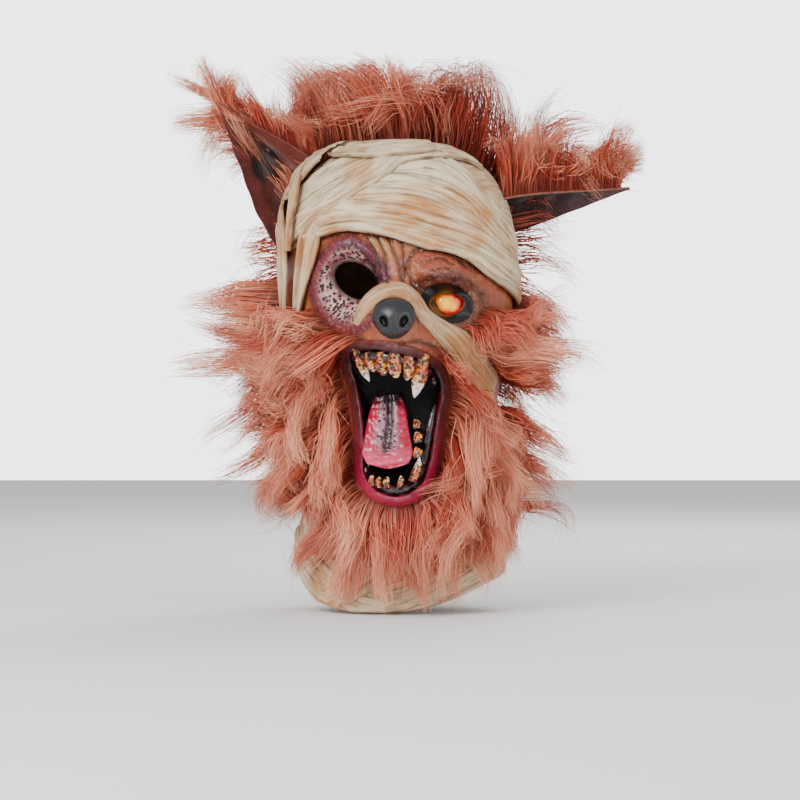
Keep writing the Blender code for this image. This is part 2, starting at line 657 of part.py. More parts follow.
def make_upper_teeth():
    """Upper gum ridge with its six teeth fused to it."""
    ridge = gum_path(np.linspace(0.3, 3.7, 9), UPPER_GUM_INSET)
    gum = tapered("upper_teeth", ridge, [GUM_RADIUS] * len(ridge), 5)
    line = gum_path(np.linspace(0.2, 3.8, 80), UPPER_GUM_INSET)
    for row in UPPER_TEETH:
        across = (MOUTH_ACROSS * HEAD_WIDTH) + row.across * MOUTH_WIDTH
        root = line[np.argmin(abs(line[:, 0] - across))]
        length = row.length * TOOTH_LENGTH
        join(gum, tooth(root, (0.06, -0.12, -1), length, row.width * TOOTH_LENGTH))
    return largest_body(gum)


def make_lower_teeth():
    """Lower gum ridge, from the left cheek round the front, with its nine teeth."""
    ridge = gum_path(np.linspace(5.9, 11.8, 10), LOWER_GUM_INSET)
    gum = tapered("lower_teeth", ridge, [GUM_RADIUS] * len(ridge), 5)
    centre = gum_path(np.linspace(0, 16, 60), LOWER_GUM_INSET).mean(0)
    for row in LOWER_TEETH:
        root = gum_path([row.place], LOWER_GUM_INSET)[0]
        inward = centre - root
        inward[1] = -0.15 * abs(inward[2])
        join(gum, tooth(root, inward, row.length * TOOTH_LENGTH, row.width * TOOTH_LENGTH))
    return largest_body(gum)


def make_tongue(space, gums):
    """The tongue: rises from the throat and lies on the lower jaw, with a middle groove."""
    rows = ((0.00, 0.52, 1.30), (0.22, 0.78, 1.15), (0.48, 0.98, 1.0), (0.72, 1.06, 0.95),
            (0.90, 0.90, 0.80), (1.00, 0.45, 0.45))
    x = MOUTH_ACROSS * HEAD_WIDTH - 0.06 * MOUTH_WIDTH
    z = WALL - MOUTH_DROP * SHELL_HEIGHT + 0.30 * MOUTH_HEIGHT
    lip = float(front_depth(np.array(x), np.array(z - TONGUE_LENGTH)))
    throat = -FACE_REACH - 0.6 * TONGUE_THICKNESS
    rings = []
    for share, width, thick in rows:
        centre = np.array([x, throat + (lip + TONGUE_SETBACK - throat) * share ** 0.8,
                           z - TONGUE_LENGTH * share])
        angle = 2 * np.pi * np.arange(12) / 12
        half = width * TONGUE_WIDTH / 2
        sink = 0.25 * TONGUE_THICKNESS * np.exp(-(np.cos(angle) * 3) ** 2) * (np.sin(angle) > 0)
        rings.append(centre + np.stack([half * np.cos(angle),
                                        -thick * TONGUE_THICKNESS / 2 * np.sin(angle) + sink,
                                        0.25 * thick * TONGUE_THICKNESS * np.sin(angle)], -1))
    body = boolean(loft("tongue", rings), space, "INTERSECT")
    for gum in gums:
        cut(body, gum)
    return largest_body(body)


def make_nose(block):
    """The nose pad on the tip of the muzzle, with two nostrils."""
    x, depth, z = spot_on_face(NOSE_SPOT)
    nose = ellipsoid("nose", (x, depth + 0.16 * NOSE_LENGTH, z),
                     (NOSE_WIDTH / 2, NOSE_LENGTH / 2, NOSE_HEIGHT / 2), 12, 8)
    for side in (-1, 1):
        centre = (x + side * 0.27 * NOSE_WIDTH, depth - 0.28 * NOSE_LENGTH, z - 0.05 * NOSE_HEIGHT)
        cut(nose, ellipsoid("nostril", centre,
                            (NOSTRIL_RADIUS, 2 * NOSTRIL_RADIUS, 1.2 * NOSTRIL_RADIUS), 6, 4))
    return largest_body(cut(nose, block))


def ear_frame(ear):
    """Root point and the directions along, aside and into the hollow's opening."""
    along = np.array(ear.tip) / np.linalg.norm(ear.tip)
    opens = np.array(ear.opens) - along * np.dot(ear.opens, along)
    opens /= np.linalg.norm(opens)
    aside = np.cross(along, opens)
    if aside[2] > 0:
        aside = -aside
    root = np.array([ear.across * HEAD_WIDTH, ear.depth * HEAD_DEPTH,
                     WALL - ear.drop * SHELL_HEIGHT])
    return root, along, aside, opens


def ear_point(ear, along_share, aside_share, out=0.0):
    """Point of the cup: along to the tip, aside from -1 at the upper edge to 1 at the lower."""
    root, along, aside, opens = ear_frame(ear)
    level = np.interp(along_share, [row.along for row in EAR_ROWS], range(len(EAR_ROWS)))
    row = catmull_rom(EAR_ROWS, level)
    half = np.where(aside_share > 0, row[..., 1], row[..., 2]) * EAR_WIDTH
    hollow = row[..., 3] * EAR_DEPTH * ear.hollow * (1 - aside_share ** 2) + out
    return (root + along * (row[..., 0] * EAR_LENGTH)[..., None]
            + aside * (half * aside_share)[..., None] - opens * hollow[..., None])


def ear_lines():
    """The grid lines of an ear, along it and aside."""
    return np.linspace(EAR_ROWS[0].along, 1.0, 8), np.linspace(-1, 1, 7)


def make_ear(ear, block):
    """A thin curved cup, cut where it meets the head."""
    alongs, asides = ear_lines()
    alongs, asides = np.broadcast_arrays(alongs[:, None], asides[None, :])
    front = ear_point(ear, alongs, asides)
    back = ear_point(ear, alongs, asides, EAR_WALL)
    return largest_body(cut(slab(ear.name, front, back), block))


def ear_plug(ear):
    """The ear with its hollow filled and its edges grown, for cutting what it pierces."""
    alongs, asides = ear_lines()
    alongs[-1] += 2 * CLEARANCE / EAR_LENGTH
    asides = asides * (1 + 6 * CLEARANCE / EAR_WIDTH)
    alongs, asides = np.broadcast_arrays(alongs[:, None], asides[None, :])
    back = ear_point(ear, alongs, asides, EAR_WALL + 2 * CLEARANCE)
    root, along, aside, opens = ear_frame(ear)
    front = back - opens * ((back - root) @ opens)[..., None] + opens * 2 * CLEARANCE
    return slab("ear_plug", front, back)


def strip_body(strip, lower, upper):
    """One bandage strip on the skin between two distances from it."""
    path = np.array(strip.path, float)
    span = max(np.ptp(path[:, 0]) / STRIP_TURN, np.ptp(path[:, 1]) / STRIP_DROP)
    line = catmull_rom(path, np.linspace(0, len(path) - 1, math.ceil(span) + 1))
    scale = np.array([math.pi * HEAD_WIDTH / 360, SHELL_HEIGHT])
    width = line[:, 2] * STRIP_WIDTH
    line = line[:, :2]
    along = np.gradient(line * scale, axis=0)
    along /= np.linalg.norm(along, axis=-1, keepdims=True)
    aside = np.stack([-along[:, 1], along[:, 0]], -1)
    across = np.linspace(-0.5, 0.5, 2 + round(width.max() / STRIP_COLUMN))
    offset = width[:, None] * across[None, :]
    flat = line[:, None] + aside[:, None] * offset[..., None] / scale
    return slab(strip.name + "_strip", skin(flat[..., 0], flat[..., 1], lower),
                skin(flat[..., 0], flat[..., 1], upper))


def make_head_bandage(block, plugs):
    """A base wrap over brow and crown with the raised and hanging strips fused to it."""
    lower = SKIN_CLEARANCE
    upper = lower + BANDAGE_THICKNESS
    turns = lines_between(shell_turns(), -102, 102)
    edge = np.interp(turns, [row[0] for row in BROW_EDGE], [row[1] for row in BROW_EDGE])
    level = lines_between(shell_drops(), 0.0, 0.160)
    slanted = level[-1] + (edge - level[-1]) * np.array([0.5, 1.0])[:, None]
    drops = np.concatenate([np.broadcast_to(level[:, None], (len(level), len(edge))), slanted])
    turns = np.broadcast_to(turns, drops.shape)
    bandage = slab("head_bandage", skin(turns, drops, lower), skin(turns, drops, upper))
    for strip in HEAD_STRIPS:
        seat = lower + STRIP_SEAT * BANDAGE_THICKNESS
        join(bandage, strip_body(strip, seat, upper + strip.layer * STRIP_RISE))
    cut(bandage, block)
    for plug in plugs:
        cut(bandage, plug)
    return largest_body(bandage)


def make_nose_bandage(block, nose_block):
    """The strip over the bridge and down across the left cheek."""
    lower = SKIN_CLEARANCE
    strip = strip_body(NOSE_STRIP, lower, lower + BANDAGE_THICKNESS)
    strip.name = "nose_bandage"
    cut(strip, block)
    cut(strip, nose_block)
    cut(strip, make_eyeball("eye_room", CLEARANCE))
    return largest_body(strip)


def make_neck_bandage(block):
    """A base wrap round neck and bib with two crossing strips fused to it."""
    lower = SKIN_CLEARANCE
    upper = lower + BANDAGE_THICKNESS
    turns = shell_turns()
    edge = np.interp(turns, [row[0] for row in NECK_EDGE], [row[1] for row in NECK_EDGE])
    share = np.linspace(0, 1, 4)[:, None]
    drops = edge[None, :] + (1 - edge[None, :]) * share
    turns = np.broadcast_to(turns, drops.shape)
    bandage = sleeve("neck_bandage", skin(turns, drops, lower), skin(turns, drops, upper))
    for strip in NECK_STRIPS:
        seat = lower + STRIP_SEAT * BANDAGE_THICKNESS
        join(bandage, strip_body(strip, seat, upper + strip.layer * STRIP_RISE))
    return largest_body(cut(bandage, block))


def lock_path(root, normal, reach):
    """A lock's line: it leaves the skin along its normal and bends over to its reach."""
    length = np.linalg.norm(reach)
    points = [root, root + normal * 0.30 * length + reach * 0.12,
              root + normal * 0.14 * length + reach * 0.62, root + reach]
    share = np.array([0.0, 0.42, 1.0])[:, None]
    weights = [(1 - share) ** 3, 3 * share * (1 - share) ** 2,
               3 * share ** 2 * (1 - share), share ** 3]
    return sum(weight * point for weight, point in zip(weights, points))


def add_lock(fur, root, normal, reach):
    """Fuse one tapered, flattened lock to a fur's backing."""
    path = lock_path(root, normal, np.asarray(reach) * FUR_LENGTH)
    radii = LOCK_WIDTH / 2 * np.array([0.45, 1.00, 0.12])
    join(fur, tapered("lock", path, radii, LOCK_SIDES, 0.80))


def make_fur(patch, locks, lift, cutters):
    """A fur: a backing on a stretch of the skin, with its locks fused to it."""
    around = np.sort(np.concatenate([shell_turns(), shell_turns() + 360]))
    turns = lines_between(around, *patch.turns)[None, :]
    inside = lines_between(shell_drops(), patch.drops[0] + PATCH_MARGIN,
                           patch.drops[1] - PATCH_MARGIN)
    drops = np.array([patch.drops[0], *inside, patch.drops[1]])[:, None]
    turns, drops = np.broadcast_arrays(turns, drops)
    fur = slab(patch.name, skin(turns, drops, lift), skin(turns, drops, lift + FUR_BACKING))
    for lock in locks:
        root = skin(lock.turn, lock.drop, -LOCK_DEPTH)
        normal = skin(lock.turn, lock.drop, 1.0) - skin(lock.turn, lock.drop, 0.0)
        add_lock(fur, root, normal, (lock.across, lock.depth, lock.rise))
    for cutter in cutters:
        cut(fur, cutter)
    return largest_body(fur)


def back_locks():
    """Rows of locks down the back of the head, each leaning out and down."""
    locks = []
    for row, drop in enumerate(BACK_LOCK_DROPS):
        for turn in BACK_LOCK_TURNS:
            angle = math.radians(turn)
            locks.append(Lock(turn, drop, 0.34 * math.sin(angle), -0.34 * math.cos(angle),
                              -0.55 - 0.08 * row))
    return locks


def make_ear_fur(ear, locks, cutters):
    """Fur on the back of an ear: a backing along the cup with its locks."""
    alongs, asides = ear_lines()
    alongs, asides = np.broadcast_arrays(alongs[3:7, None], asides[None, :6])
    seat = EAR_WALL + SKIN_CLEARANCE
    fur = slab(ear.name + "_fur", ear_point(ear, alongs, asides, seat),
               ear_point(ear, alongs, asides, seat + FUR_BACKING))
    opens = ear_frame(ear)[3]
    for lock in locks:
        root = ear_point(ear, np.array(lock.along), np.array(lock.aside), 0.0)
        add_lock(fur, root, -opens, (lock.across, lock.depth, lock.rise))
    for cutter in cutters:
        cut(fur, cutter)
    return largest_body(fur)


def copy_for_cutting(source, grow):
    """A copy of a piece swollen by grow along its normals, to cut a neighbour clear of it."""
    copy = as_cutter(bpy.data.objects.new(source.name + "_clearance", source.data.copy()))
    swell = copy.modifiers.new("swell", "DISPLACE")
    swell.strength = grow
    swell.mid_level = 0.0
    return bake(copy)


for old in list(bpy.data.objects):
    bpy.data.objects.remove(old)
PIECES = bpy.data.collections.new("werewolf_mask")
CUTTERS = bpy.data.collections.new("cutters")
bpy.context.scene.collection.children.link(PIECES)
bpy.context.scene.collection.children.link(CUTTERS)

skin_latex = material("painted_latex", "#B5694A", 0.55)
ear_latex = material("ear_latex", "#6E3A32", 0.55)
lip_latex = material("lip_latex", "#8C2B45", 0.30)
nose_latex = material("nose_latex", "#33353A", 0.35)
eye_glass = material("eye_lens", "#F0A020", 0.10)
tongue_latex = material("tongue_latex", "#B23558", 0.30)
enamel = material("tooth_enamel", "#D9B070", 0.35)
bandage_cloth = material("bandage_cloth", "#E4D6B8", 0.85)
fur_fibre = material("fur_fibre", "#D9826A", 0.70)

head = head_block("head_block", SEAT_CLEARANCE)
finish(make_shell(), skin_latex)
finish(make_eyeball("eyeball"), eye_glass)
mouth_lining = finish(make_mouth_lining(), lip_latex)
mouth_cutter = copy_for_cutting(mouth_lining, CLEARANCE)
mouth_space = pocket_space(CLEARANCE)
upper_teeth = finish(make_upper_teeth(), enamel)
lower_teeth = finish(make_lower_teeth(), enamel)
gum_cutters = [copy_for_cutting(upper_teeth, CLEARANCE), copy_for_cutting(lower_teeth, CLEARANCE)]
finish(make_tongue(mouth_space, gum_cutters), tongue_latex)
nose = finish(make_nose(head), nose_latex)

ears = {ear.name: finish(make_ear(ear, head), ear_latex) for ear in EARS}
plugs = [ear_plug(ear) for ear in EARS]
head_bandage = finish(make_head_bandage(head, plugs), bandage_cloth)
nose_cutter = copy_for_cutting(nose, CLEARANCE)
nose_bandage = finish(make_nose_bandage(head, nose_cutter), bandage_cloth)
neck_bandage = finish(make_neck_bandage(head), bandage_cloth)
bandage_cutters = [copy_for_cutting(piece, CLEARANCE)
                   for piece in (head_bandage, nose_bandage, neck_bandage)]

lift = SKIN_CLEARANCE
crown_fur = make_fur(CROWN_PATCH, CROWN_LOCKS, lift, [head, *plugs, *bandage_cutters[:1]])
finish(crown_fur, fur_fibre)
crown_cutter = copy_for_cutting(crown_fur, CLEARANCE)
back_fur = make_fur(BACK_PATCH, back_locks(), lift,
                    [head, *plugs, *bandage_cutters, crown_cutter])
finish(back_fur, fur_fibre)
back_cutter = copy_for_cutting(back_fur, CLEARANCE)
right_fur = make_fur(RIGHT_PATCH, RIGHT_LOCKS, lift,
                     [head, *plugs, *bandage_cutters, back_cutter])
finish(right_fur, fur_fibre)
left_fur = make_fur(LEFT_PATCH, LEFT_LOCKS, lift,
                    [head, *plugs, *bandage_cutters, back_cutter])
finish(left_fur, fur_fibre)
cheek_cutters = [copy_for_cutting(piece, CLEARANCE) for piece in (right_fur, left_fur)]
beard_cutters = [head, mouth_cutter, *bandage_cutters, *cheek_cutters]
finish(make_fur(BEARD_PATCH, BEARD_LOCKS, lift, beard_cutters), fur_fibre)
ear_cutters = [crown_cutter, back_cutter, *cheek_cutters]
finish(make_ear_fur(EARS[0], RIGHT_EAR_LOCKS,
                    [head, plugs[0], bandage_cutters[0], *ear_cutters]), fur_fibre)
finish(make_ear_fur(EARS[1], LEFT_EAR_LOCKS,
                    [head, plugs[1], bandage_cutters[0], *ear_cutters]), fur_fibre)
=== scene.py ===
"""Werewolf mask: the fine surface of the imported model.

Metres, +Z up, the face looks along -Y, the origin is inside the crown of the shell.
Right and left are the mask's own: right is -X. Turn is the angle round the head from the
nose in degrees, growing toward +X, and drop the way down from the crown.
"""
import math

import bpy
import numpy as np
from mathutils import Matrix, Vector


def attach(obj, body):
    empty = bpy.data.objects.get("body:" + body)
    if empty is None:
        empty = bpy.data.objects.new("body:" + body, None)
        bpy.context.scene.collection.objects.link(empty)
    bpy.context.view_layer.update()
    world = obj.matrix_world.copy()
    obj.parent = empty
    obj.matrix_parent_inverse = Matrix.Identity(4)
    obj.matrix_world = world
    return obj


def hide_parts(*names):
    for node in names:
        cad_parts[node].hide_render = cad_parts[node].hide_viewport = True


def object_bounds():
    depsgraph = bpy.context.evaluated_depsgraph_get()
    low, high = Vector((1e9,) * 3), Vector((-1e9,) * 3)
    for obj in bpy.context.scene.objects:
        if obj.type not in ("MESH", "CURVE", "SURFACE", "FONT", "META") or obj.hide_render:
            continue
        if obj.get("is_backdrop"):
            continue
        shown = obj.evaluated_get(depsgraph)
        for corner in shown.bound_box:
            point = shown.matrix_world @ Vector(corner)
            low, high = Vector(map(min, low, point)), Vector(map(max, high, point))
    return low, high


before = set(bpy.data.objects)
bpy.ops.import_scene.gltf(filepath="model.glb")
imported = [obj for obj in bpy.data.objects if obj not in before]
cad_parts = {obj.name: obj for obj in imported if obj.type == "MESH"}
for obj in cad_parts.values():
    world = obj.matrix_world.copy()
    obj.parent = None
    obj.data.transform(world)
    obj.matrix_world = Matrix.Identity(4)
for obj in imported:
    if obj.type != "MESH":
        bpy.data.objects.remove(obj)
cad_low, cad_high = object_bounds()
scene = bpy.context.scene

# The shell: cast latex, airbrushed. Its form is the same rings and bumps as the solid
# model, on a grid fine enough for creases, sockets and furrows.
HEAD_WIDTH, HEAD_DEPTH, SHELL_HEIGHT, WALL = 0.224, 0.226, 0.449, 0.0020
RING_ROUNDNESS = 2.2
# drop, side, front, back
RINGS = np.array([
    (0.000, 0.000, 0.000, 0.000), (0.009, 0.200, 0.185, 0.212), (0.041, 0.350, 0.318, 0.355),
    (0.095, 0.442, 0.407, 0.447), (0.162, 0.487, 0.451, 0.495), (0.240, 0.500, 0.469, 0.513),
    (0.329, 0.496, 0.469, 0.500), (0.429, 0.469, 0.456, 0.465), (0.529, 0.433, 0.438, 0.411),
    (0.629, 0.402, 0.420, 0.354), (0.729, 0.388, 0.389, 0.318), (0.818, 0.411, 0.372, 0.318),
    (0.896, 0.438, 0.389, 0.354), (1.000, 0.442, 0.425, 0.389)])
NECK_DROP = 0.818
# turn, drop of the hem
HEM = np.array([
    (-180, 0.850), (-120, 0.855), (-90, 0.880), (-70, 0.935), (-50, 0.980), (-25, 1.000),
    (0, 1.000), (20, 0.983), (50, 0.945), (85, 0.915), (130, 0.870), (180, 0.850)])
# across, drop, half width, half drop, push forward
BUMPS = [
    (-0.175, 0.240, 0.190, 0.062, 0.050), (0.195, 0.283, 0.180, 0.052, 0.066),
    (-0.010, 0.330, 0.100, 0.085, 0.052), (-0.018, 0.415, 0.290, 0.120, 0.215),
    (-0.022, 0.385, 0.160, 0.062, 0.040), (-0.190, 0.297, 0.150, 0.062, -0.072),
    (0.200, 0.346, 0.120, 0.048, -0.050), (-0.280, 0.408, 0.170, 0.078, 0.045),
    (0.295, 0.432, 0.170, 0.078, 0.052), (0.000, 0.600, 0.310, 0.190, 0.215),
    (-0.018, 0.752, 0.270, 0.100, 0.190)]
BUMP_FADE = 0.35
# The mouth's edge as shares of its width and height
MOUTH_CENTRE = np.array([-0.013 * HEAD_WIDTH, WALL - 0.600 * SHELL_HEIGHT])
MOUTH_SIZE = np.array([0.086, 0.137])
MOUTH_RIM = np.array([
    (-0.500, 0.485), (-0.290, 0.507), (-0.020, 0.485), (0.255, 0.438), (0.442, 0.347),
    (0.490, 0.197), (0.430, -0.015), (0.395, -0.153), (0.345, -0.312), (0.235, -0.437),
    (0.012, -0.497), (-0.220, -0.458), (-0.362, -0.340), (-0.362, -0.153), (-0.395, 0.058),
    (-0.445, 0.263), (-0.508, 0.395)])


def catmull_rom(rows, level):
    """Rows of a table read at fractional levels, on a smooth curve through every row."""
    rows = np.asarray(rows, float)
    last = len(rows) - 1
    level = np.clip(np.asarray(level, float), 0, last)
    start = np.minimum(level.astype(int), last - 1)
    part = (level - start)[..., None]
    before, here = rows[np.maximum(start - 1, 0)], rows[start]
    after, beyond = rows[start + 1], rows[np.minimum(start + 2, last)]
    return 0.5 * (2 * here + (after - before) * part
                  + (2 * before - 5 * here + 4 * after - beyond) * part ** 2
                  + (3 * here - before - 3 * after + beyond) * part ** 3)


LEVELS = np.linspace(0, len(RINGS) - 1, 400)
LEVEL_DROPS = catmull_rom(RINGS, LEVELS)[:, 0]


def smooth(value, low, high):
    """0 below low, 1 above high and an S-curve between."""
    share = np.clip((value - low) / (high - low), 0, 1)
    return share * share * (3 - 2 * share)


def bell(value, centre, width):
    """1 at the centre, falling off on both sides as a bell curve of this width."""
    return np.exp(-((value - centre) / width) ** 2)


def push_forward(x, z):
    """How far the face stands forward of the plain head at x, z: the sum of the bumps."""
    push = np.zeros(np.broadcast(x, z).shape)
    for across, drop, half_width, half_drop, height in BUMPS:
        side = (x / HEAD_WIDTH - across) / half_width
        down = ((WALL - z) / SHELL_HEIGHT - drop) / half_drop
        push = push + height * HEAD_DEPTH * np.clip(1 - side ** 2 - down ** 2, 0, None) ** 2
    return push


def skin_raw(turn, drop):
    """Point of the shell's outer face at a turn in degrees and a drop."""
    turn, drop = np.broadcast_arrays(np.asarray(turn, float), np.asarray(drop, float))
    ring = catmull_rom(RINGS, np.interp(drop, LEVEL_DROPS, LEVELS))
    sine, cosine = np.sin(np.radians(turn)), np.cos(np.radians(turn))
    power = 2 / RING_ROUNDNESS
    x = HEAD_WIDTH * ring[..., 1] * np.sign(sine) * np.abs(sine) ** power
    reach = HEAD_DEPTH * np.where(cosine > 0, ring[..., 2], ring[..., 3])
    y = -reach * np.sign(cosine) * np.abs(cosine) ** power
    hem = np.interp((turn + 180) % 360 - 180, HEM[:, 0], HEM[:, 1])
    below = np.clip(drop - NECK_DROP, 0, None) * (hem - NECK_DROP) / (1 - NECK_DROP)
    z = WALL - SHELL_HEIGHT * (np.minimum(drop, NECK_DROP) + below)
    fade = np.clip(cosine / BUMP_FADE, 0, 1)
    y = y - push_forward(x, z) * fade * fade * (3 - 2 * fade)
    return np.stack([x, y, z], -1)


def skin_normal(turn, drop):
    """Outward direction of the shell, from its slopes along turn and drop."""
    drop = np.asarray(drop, float)
    around = skin_raw(np.asarray(turn) + 0.5, np.maximum(drop, 0.004))
    around = around - skin_raw(np.asarray(turn) - 0.5, np.maximum(drop, 0.004))
    downward = skin_raw(turn, np.clip(drop + 0.002, 0.004, 1))
    downward = downward - skin_raw(turn, np.clip(drop - 0.002, 0.001, 1))
    normal = np.cross(downward, around)
    return normal / np.linalg.norm(normal, axis=-1, keepdims=True)


def skin(turn, drop, out=0.0):
    """Point at a distance out from the shell's outer face, along its normal."""
    return skin_raw(turn, drop) + skin_normal(turn, drop) * np.asarray(out)[..., None]


def front_depth(x, z):
    """The y of the face at x, z, on the front half of the shell."""
    ring = catmull_rom(RINGS, np.interp((WALL - z) / SHELL_HEIGHT, LEVEL_DROPS, LEVELS))
    share = np.clip(np.abs(x) / (HEAD_WIDTH * ring[..., 1]), 0, 0.999)
    plain = HEAD_DEPTH * ring[..., 2] * (1 - share ** RING_ROUNDNESS) ** (1 / RING_ROUNDNESS)
    return -plain - push_forward(x, z)


def oval(x, z, centre, half, tilt=0.0):
    """Distance from a centre in half sizes: 1 on the outline of a tilted oval."""
    side, up = x - centre[0] / 1000, z - centre[1] / 1000
    turned = math.radians(tilt)
    along = side * math.cos(turned) + up * math.sin(turned)
    across = up * math.cos(turned) - side * math.sin(turned)
    return np.hypot(along / half[0] * 1000, across / half[1] * 1000)


def line_distance(x, z, points):
    """Distance in metres from x, z to a line through points given in millimetres."""
    points = np.asarray(points, float) / 1000
    best = np.full(np.broadcast(x, z).shape, 9.0)
    for (ax, az), (bx, bz) in zip(points[:-1], points[1:]):
        length = (bx - ax) ** 2 + (bz - az) ** 2
        share = np.clip(((x - ax) * (bx - ax) + (z - az) * (bz - az)) / length, 0, 1)
        best = np.minimum(best, np.hypot(x - ax - share * (bx - ax), z - az - share * (bz - az)))
    return best


def waves(x, z, size, seed):
    """Smooth irregular waves of about 1 over the plane, from six crossing sines."""
    rng = np.random.default_rng(seed)
    total = np.zeros(np.broadcast(x, z).shape)
    for angle, phase, stretch in zip(rng.uniform(0, np.pi, 6), rng.uniform(0, 6.3, 6),
                                     rng.uniform(0.6, 1.5, 6)):
        total = total + np.sin((x * math.cos(angle) + z * math.sin(angle))
                               * 2 * np.pi / (size * stretch) + phase)
    return total / 2.5


# Height in mm (dents below 0), width in mm, and the line in x, z mm
CREASES = [
    (-2.6, 2.2, [(-10.4, -91.2), (-6.6, -104.5), (-0.9, -115.9), (0.9, -131.1)]),
    (-3.0, 2.4, [(19.9, -98.8), (10.4, -108.3), (5.7, -119.7), (3.8, -133.0)]),
    (-1.6, 1.8, [(1.9, -93.1), (3.8, -106.4), (2.8, -119.7)]),
    (-2.2, 2.0, [(-21.8, -89.3), (-13.3, -108.3), (-11.4, -127.3), (-17.1, -138.7)]),
    (-1.6, 1.6, [(-32.3, -89.3), (-22.8, -104.5), (-18.1, -119.7)]),
    (-2.4, 2.2, [(7.6, -121.6), (11.4, -134.9), (22.8, -142.5), (38.0, -137.8), (55.1, -132.0)]),
    (-1.2, 1.5, [(19.0, -104.5), (34.2, -100.7), (49.4, -108.3), (62.7, -119.7)]),
    (-1.0, 1.4, [(24.7, -114.0), (38.0, -110.2), (51.3, -117.8)]),
    (-0.9, 1.3, [(28.5, -123.5), (41.8, -119.7), (57.0, -127.3)]),
    (2.6, 4.5, [(11.4, -114.0), (20.9, -123.5), (34.2, -127.3), (49.4, -123.5), (66.5, -129.2),
        (77.9, -140.6)]),
    (2.2, 3.6, [(-3.8, -95.0), (-1.9, -108.3), (1.9, -123.5)]),
    (2.4, 3.2, [(-62.7, -96.9), (-45.6, -91.2), (-30.4, -102.6), (-19.0, -117.8), (-15.2, -131.1)]),
    (1.8, 3.0, [(-79.8, -114.0), (-84.5, -133.0), (-81.7, -152.0), (-70.3, -171.0),
        (-55.1, -180.5)]),
    (-1.6, 2.0, [(-58.9, -102.6), (-45.6, -97.8), (-33.2, -108.3), (-24.7, -119.7),
        (-20.9, -131.1)]),
    (-1.8, 2.4, [(-45.6, -184.3), (-26.6, -191.9), (-3.8, -193.8), (19.0, -190.0), (38.0, -197.6)]),
    (-1.0, 1.8, [(43.7, -197.6), (55.1, -214.7), (58.9, -235.6)]),
    (-1.0, 1.8, [(-57.0, -197.6), (-62.7, -218.5), (-60.8, -241.3)]),
]
HOLE_CENTRE, HOLE_HALF, HOLE_TILT = (-40.9, -132.0), (22.0, 15.0), -32
SOCKET_CENTRE, SOCKET_HALF = (-47.5, -137.8), (33.0, 39.0)
LENS_CENTRE = (0.200 * HEAD_WIDTH * 1000, (WALL - 0.347 * SHELL_HEIGHT) * 1000)


def sculpt(x, z):
    """Fine relief of the face in metres, forward where positive."""
    relief = np.zeros(np.broadcast(x, z).shape)
    for height, width, line in CREASES:
        relief = relief + height * 1e-3 * bell(line_distance(x, z, line) * 1e3, 0, width)
    socket = oval(x, z, SOCKET_CENTRE, SOCKET_HALF, 8)
    relief = relief + 0.0030 * bell(socket, 1.0, 0.16)
    relief = relief - 0.0060 * (1 - smooth(socket, 0.45, 0.95))
    hole = oval(x, z, HOLE_CENTRE, HOLE_HALF, HOLE_TILT)
    relief = relief - 0.0050 * bell(hole, 0.9, 0.22)
    lids = oval(x, z, LENS_CENTRE, (24.0, 17.0), -10)
    relief = relief - 0.0075 * (1 - smooth(lids, 0.65, 1.15))
    relief = relief + 0.00035 * waves(x, z, 0.011, 3) + 0.00022 * waves(x, z, 0.005, 4)
    return relief


def colour(code):
    """Linear red, green and blue of an sRGB hex code."""
    parts = np.array([int(code[i:i + 2], 16) for i in (1, 3, 5)]) / 255
    return np.where(parts <= 0.04045, parts / 12.92, ((parts + 0.055) / 1.055) ** 2.4)


def blend(base, code, share):
    """Colours moved toward one hex colour by a share at each point."""
    return base + (colour(code) - base) * np.asarray(share)[..., None]


def painted(shape, first, *layers):
    """Colours over points: a first hex colour, then each layer's by its share."""
    paint = np.broadcast_to(colour(first), (*shape, 3))
    for code, share in layers:
        paint = blend(paint, code, share)
    return paint


def node(tree, kind, output, *feeds, **settings):
    """The output of one new shader node.

    settings are its properties. feeds go to its sockets in order: a socket links, a hex
    code is a colour, and (name, value) names the socket.
    """
    made = tree.nodes.new("ShaderNode" + kind)
    for name, value in settings.items():
        setattr(made, name, value)
    for place, value in enumerate(feeds):
        if isinstance(value, tuple):
            place, value = value
        if isinstance(value, bpy.types.NodeSocket):
            tree.links.new(value, made.inputs[place])
        else:
            made.inputs[place].default_value = (*colour(value), 1) if isinstance(value,
                str) else value
    return made.outputs[output]


def new_material(name, roughness, settings):
    """A material with one Principled shader and constants on its sockets."""
    made = bpy.data.materials.new(name)
    made.use_nodes = True
    shader = made.node_tree.nodes["Principled BSDF"]
    shader.inputs["Roughness"].default_value = roughness
    for socket, value in settings.items():
        shader.inputs[socket].default_value = value
    return made, made.node_tree, shader


def grid_faces(rows, columns, around=False):
    """Four-cornered faces over a grid of points, wound to look outward."""
    index = np.arange(rows * columns).reshape(rows, columns)
    here = index if around else index[:, :-1]
    right = np.roll(index, -1, 1) if around else index[:, 1:]
    return np.stack([here[:-1], here[1:], right[1:], right[:-1]], -1).reshape(-1, 4)


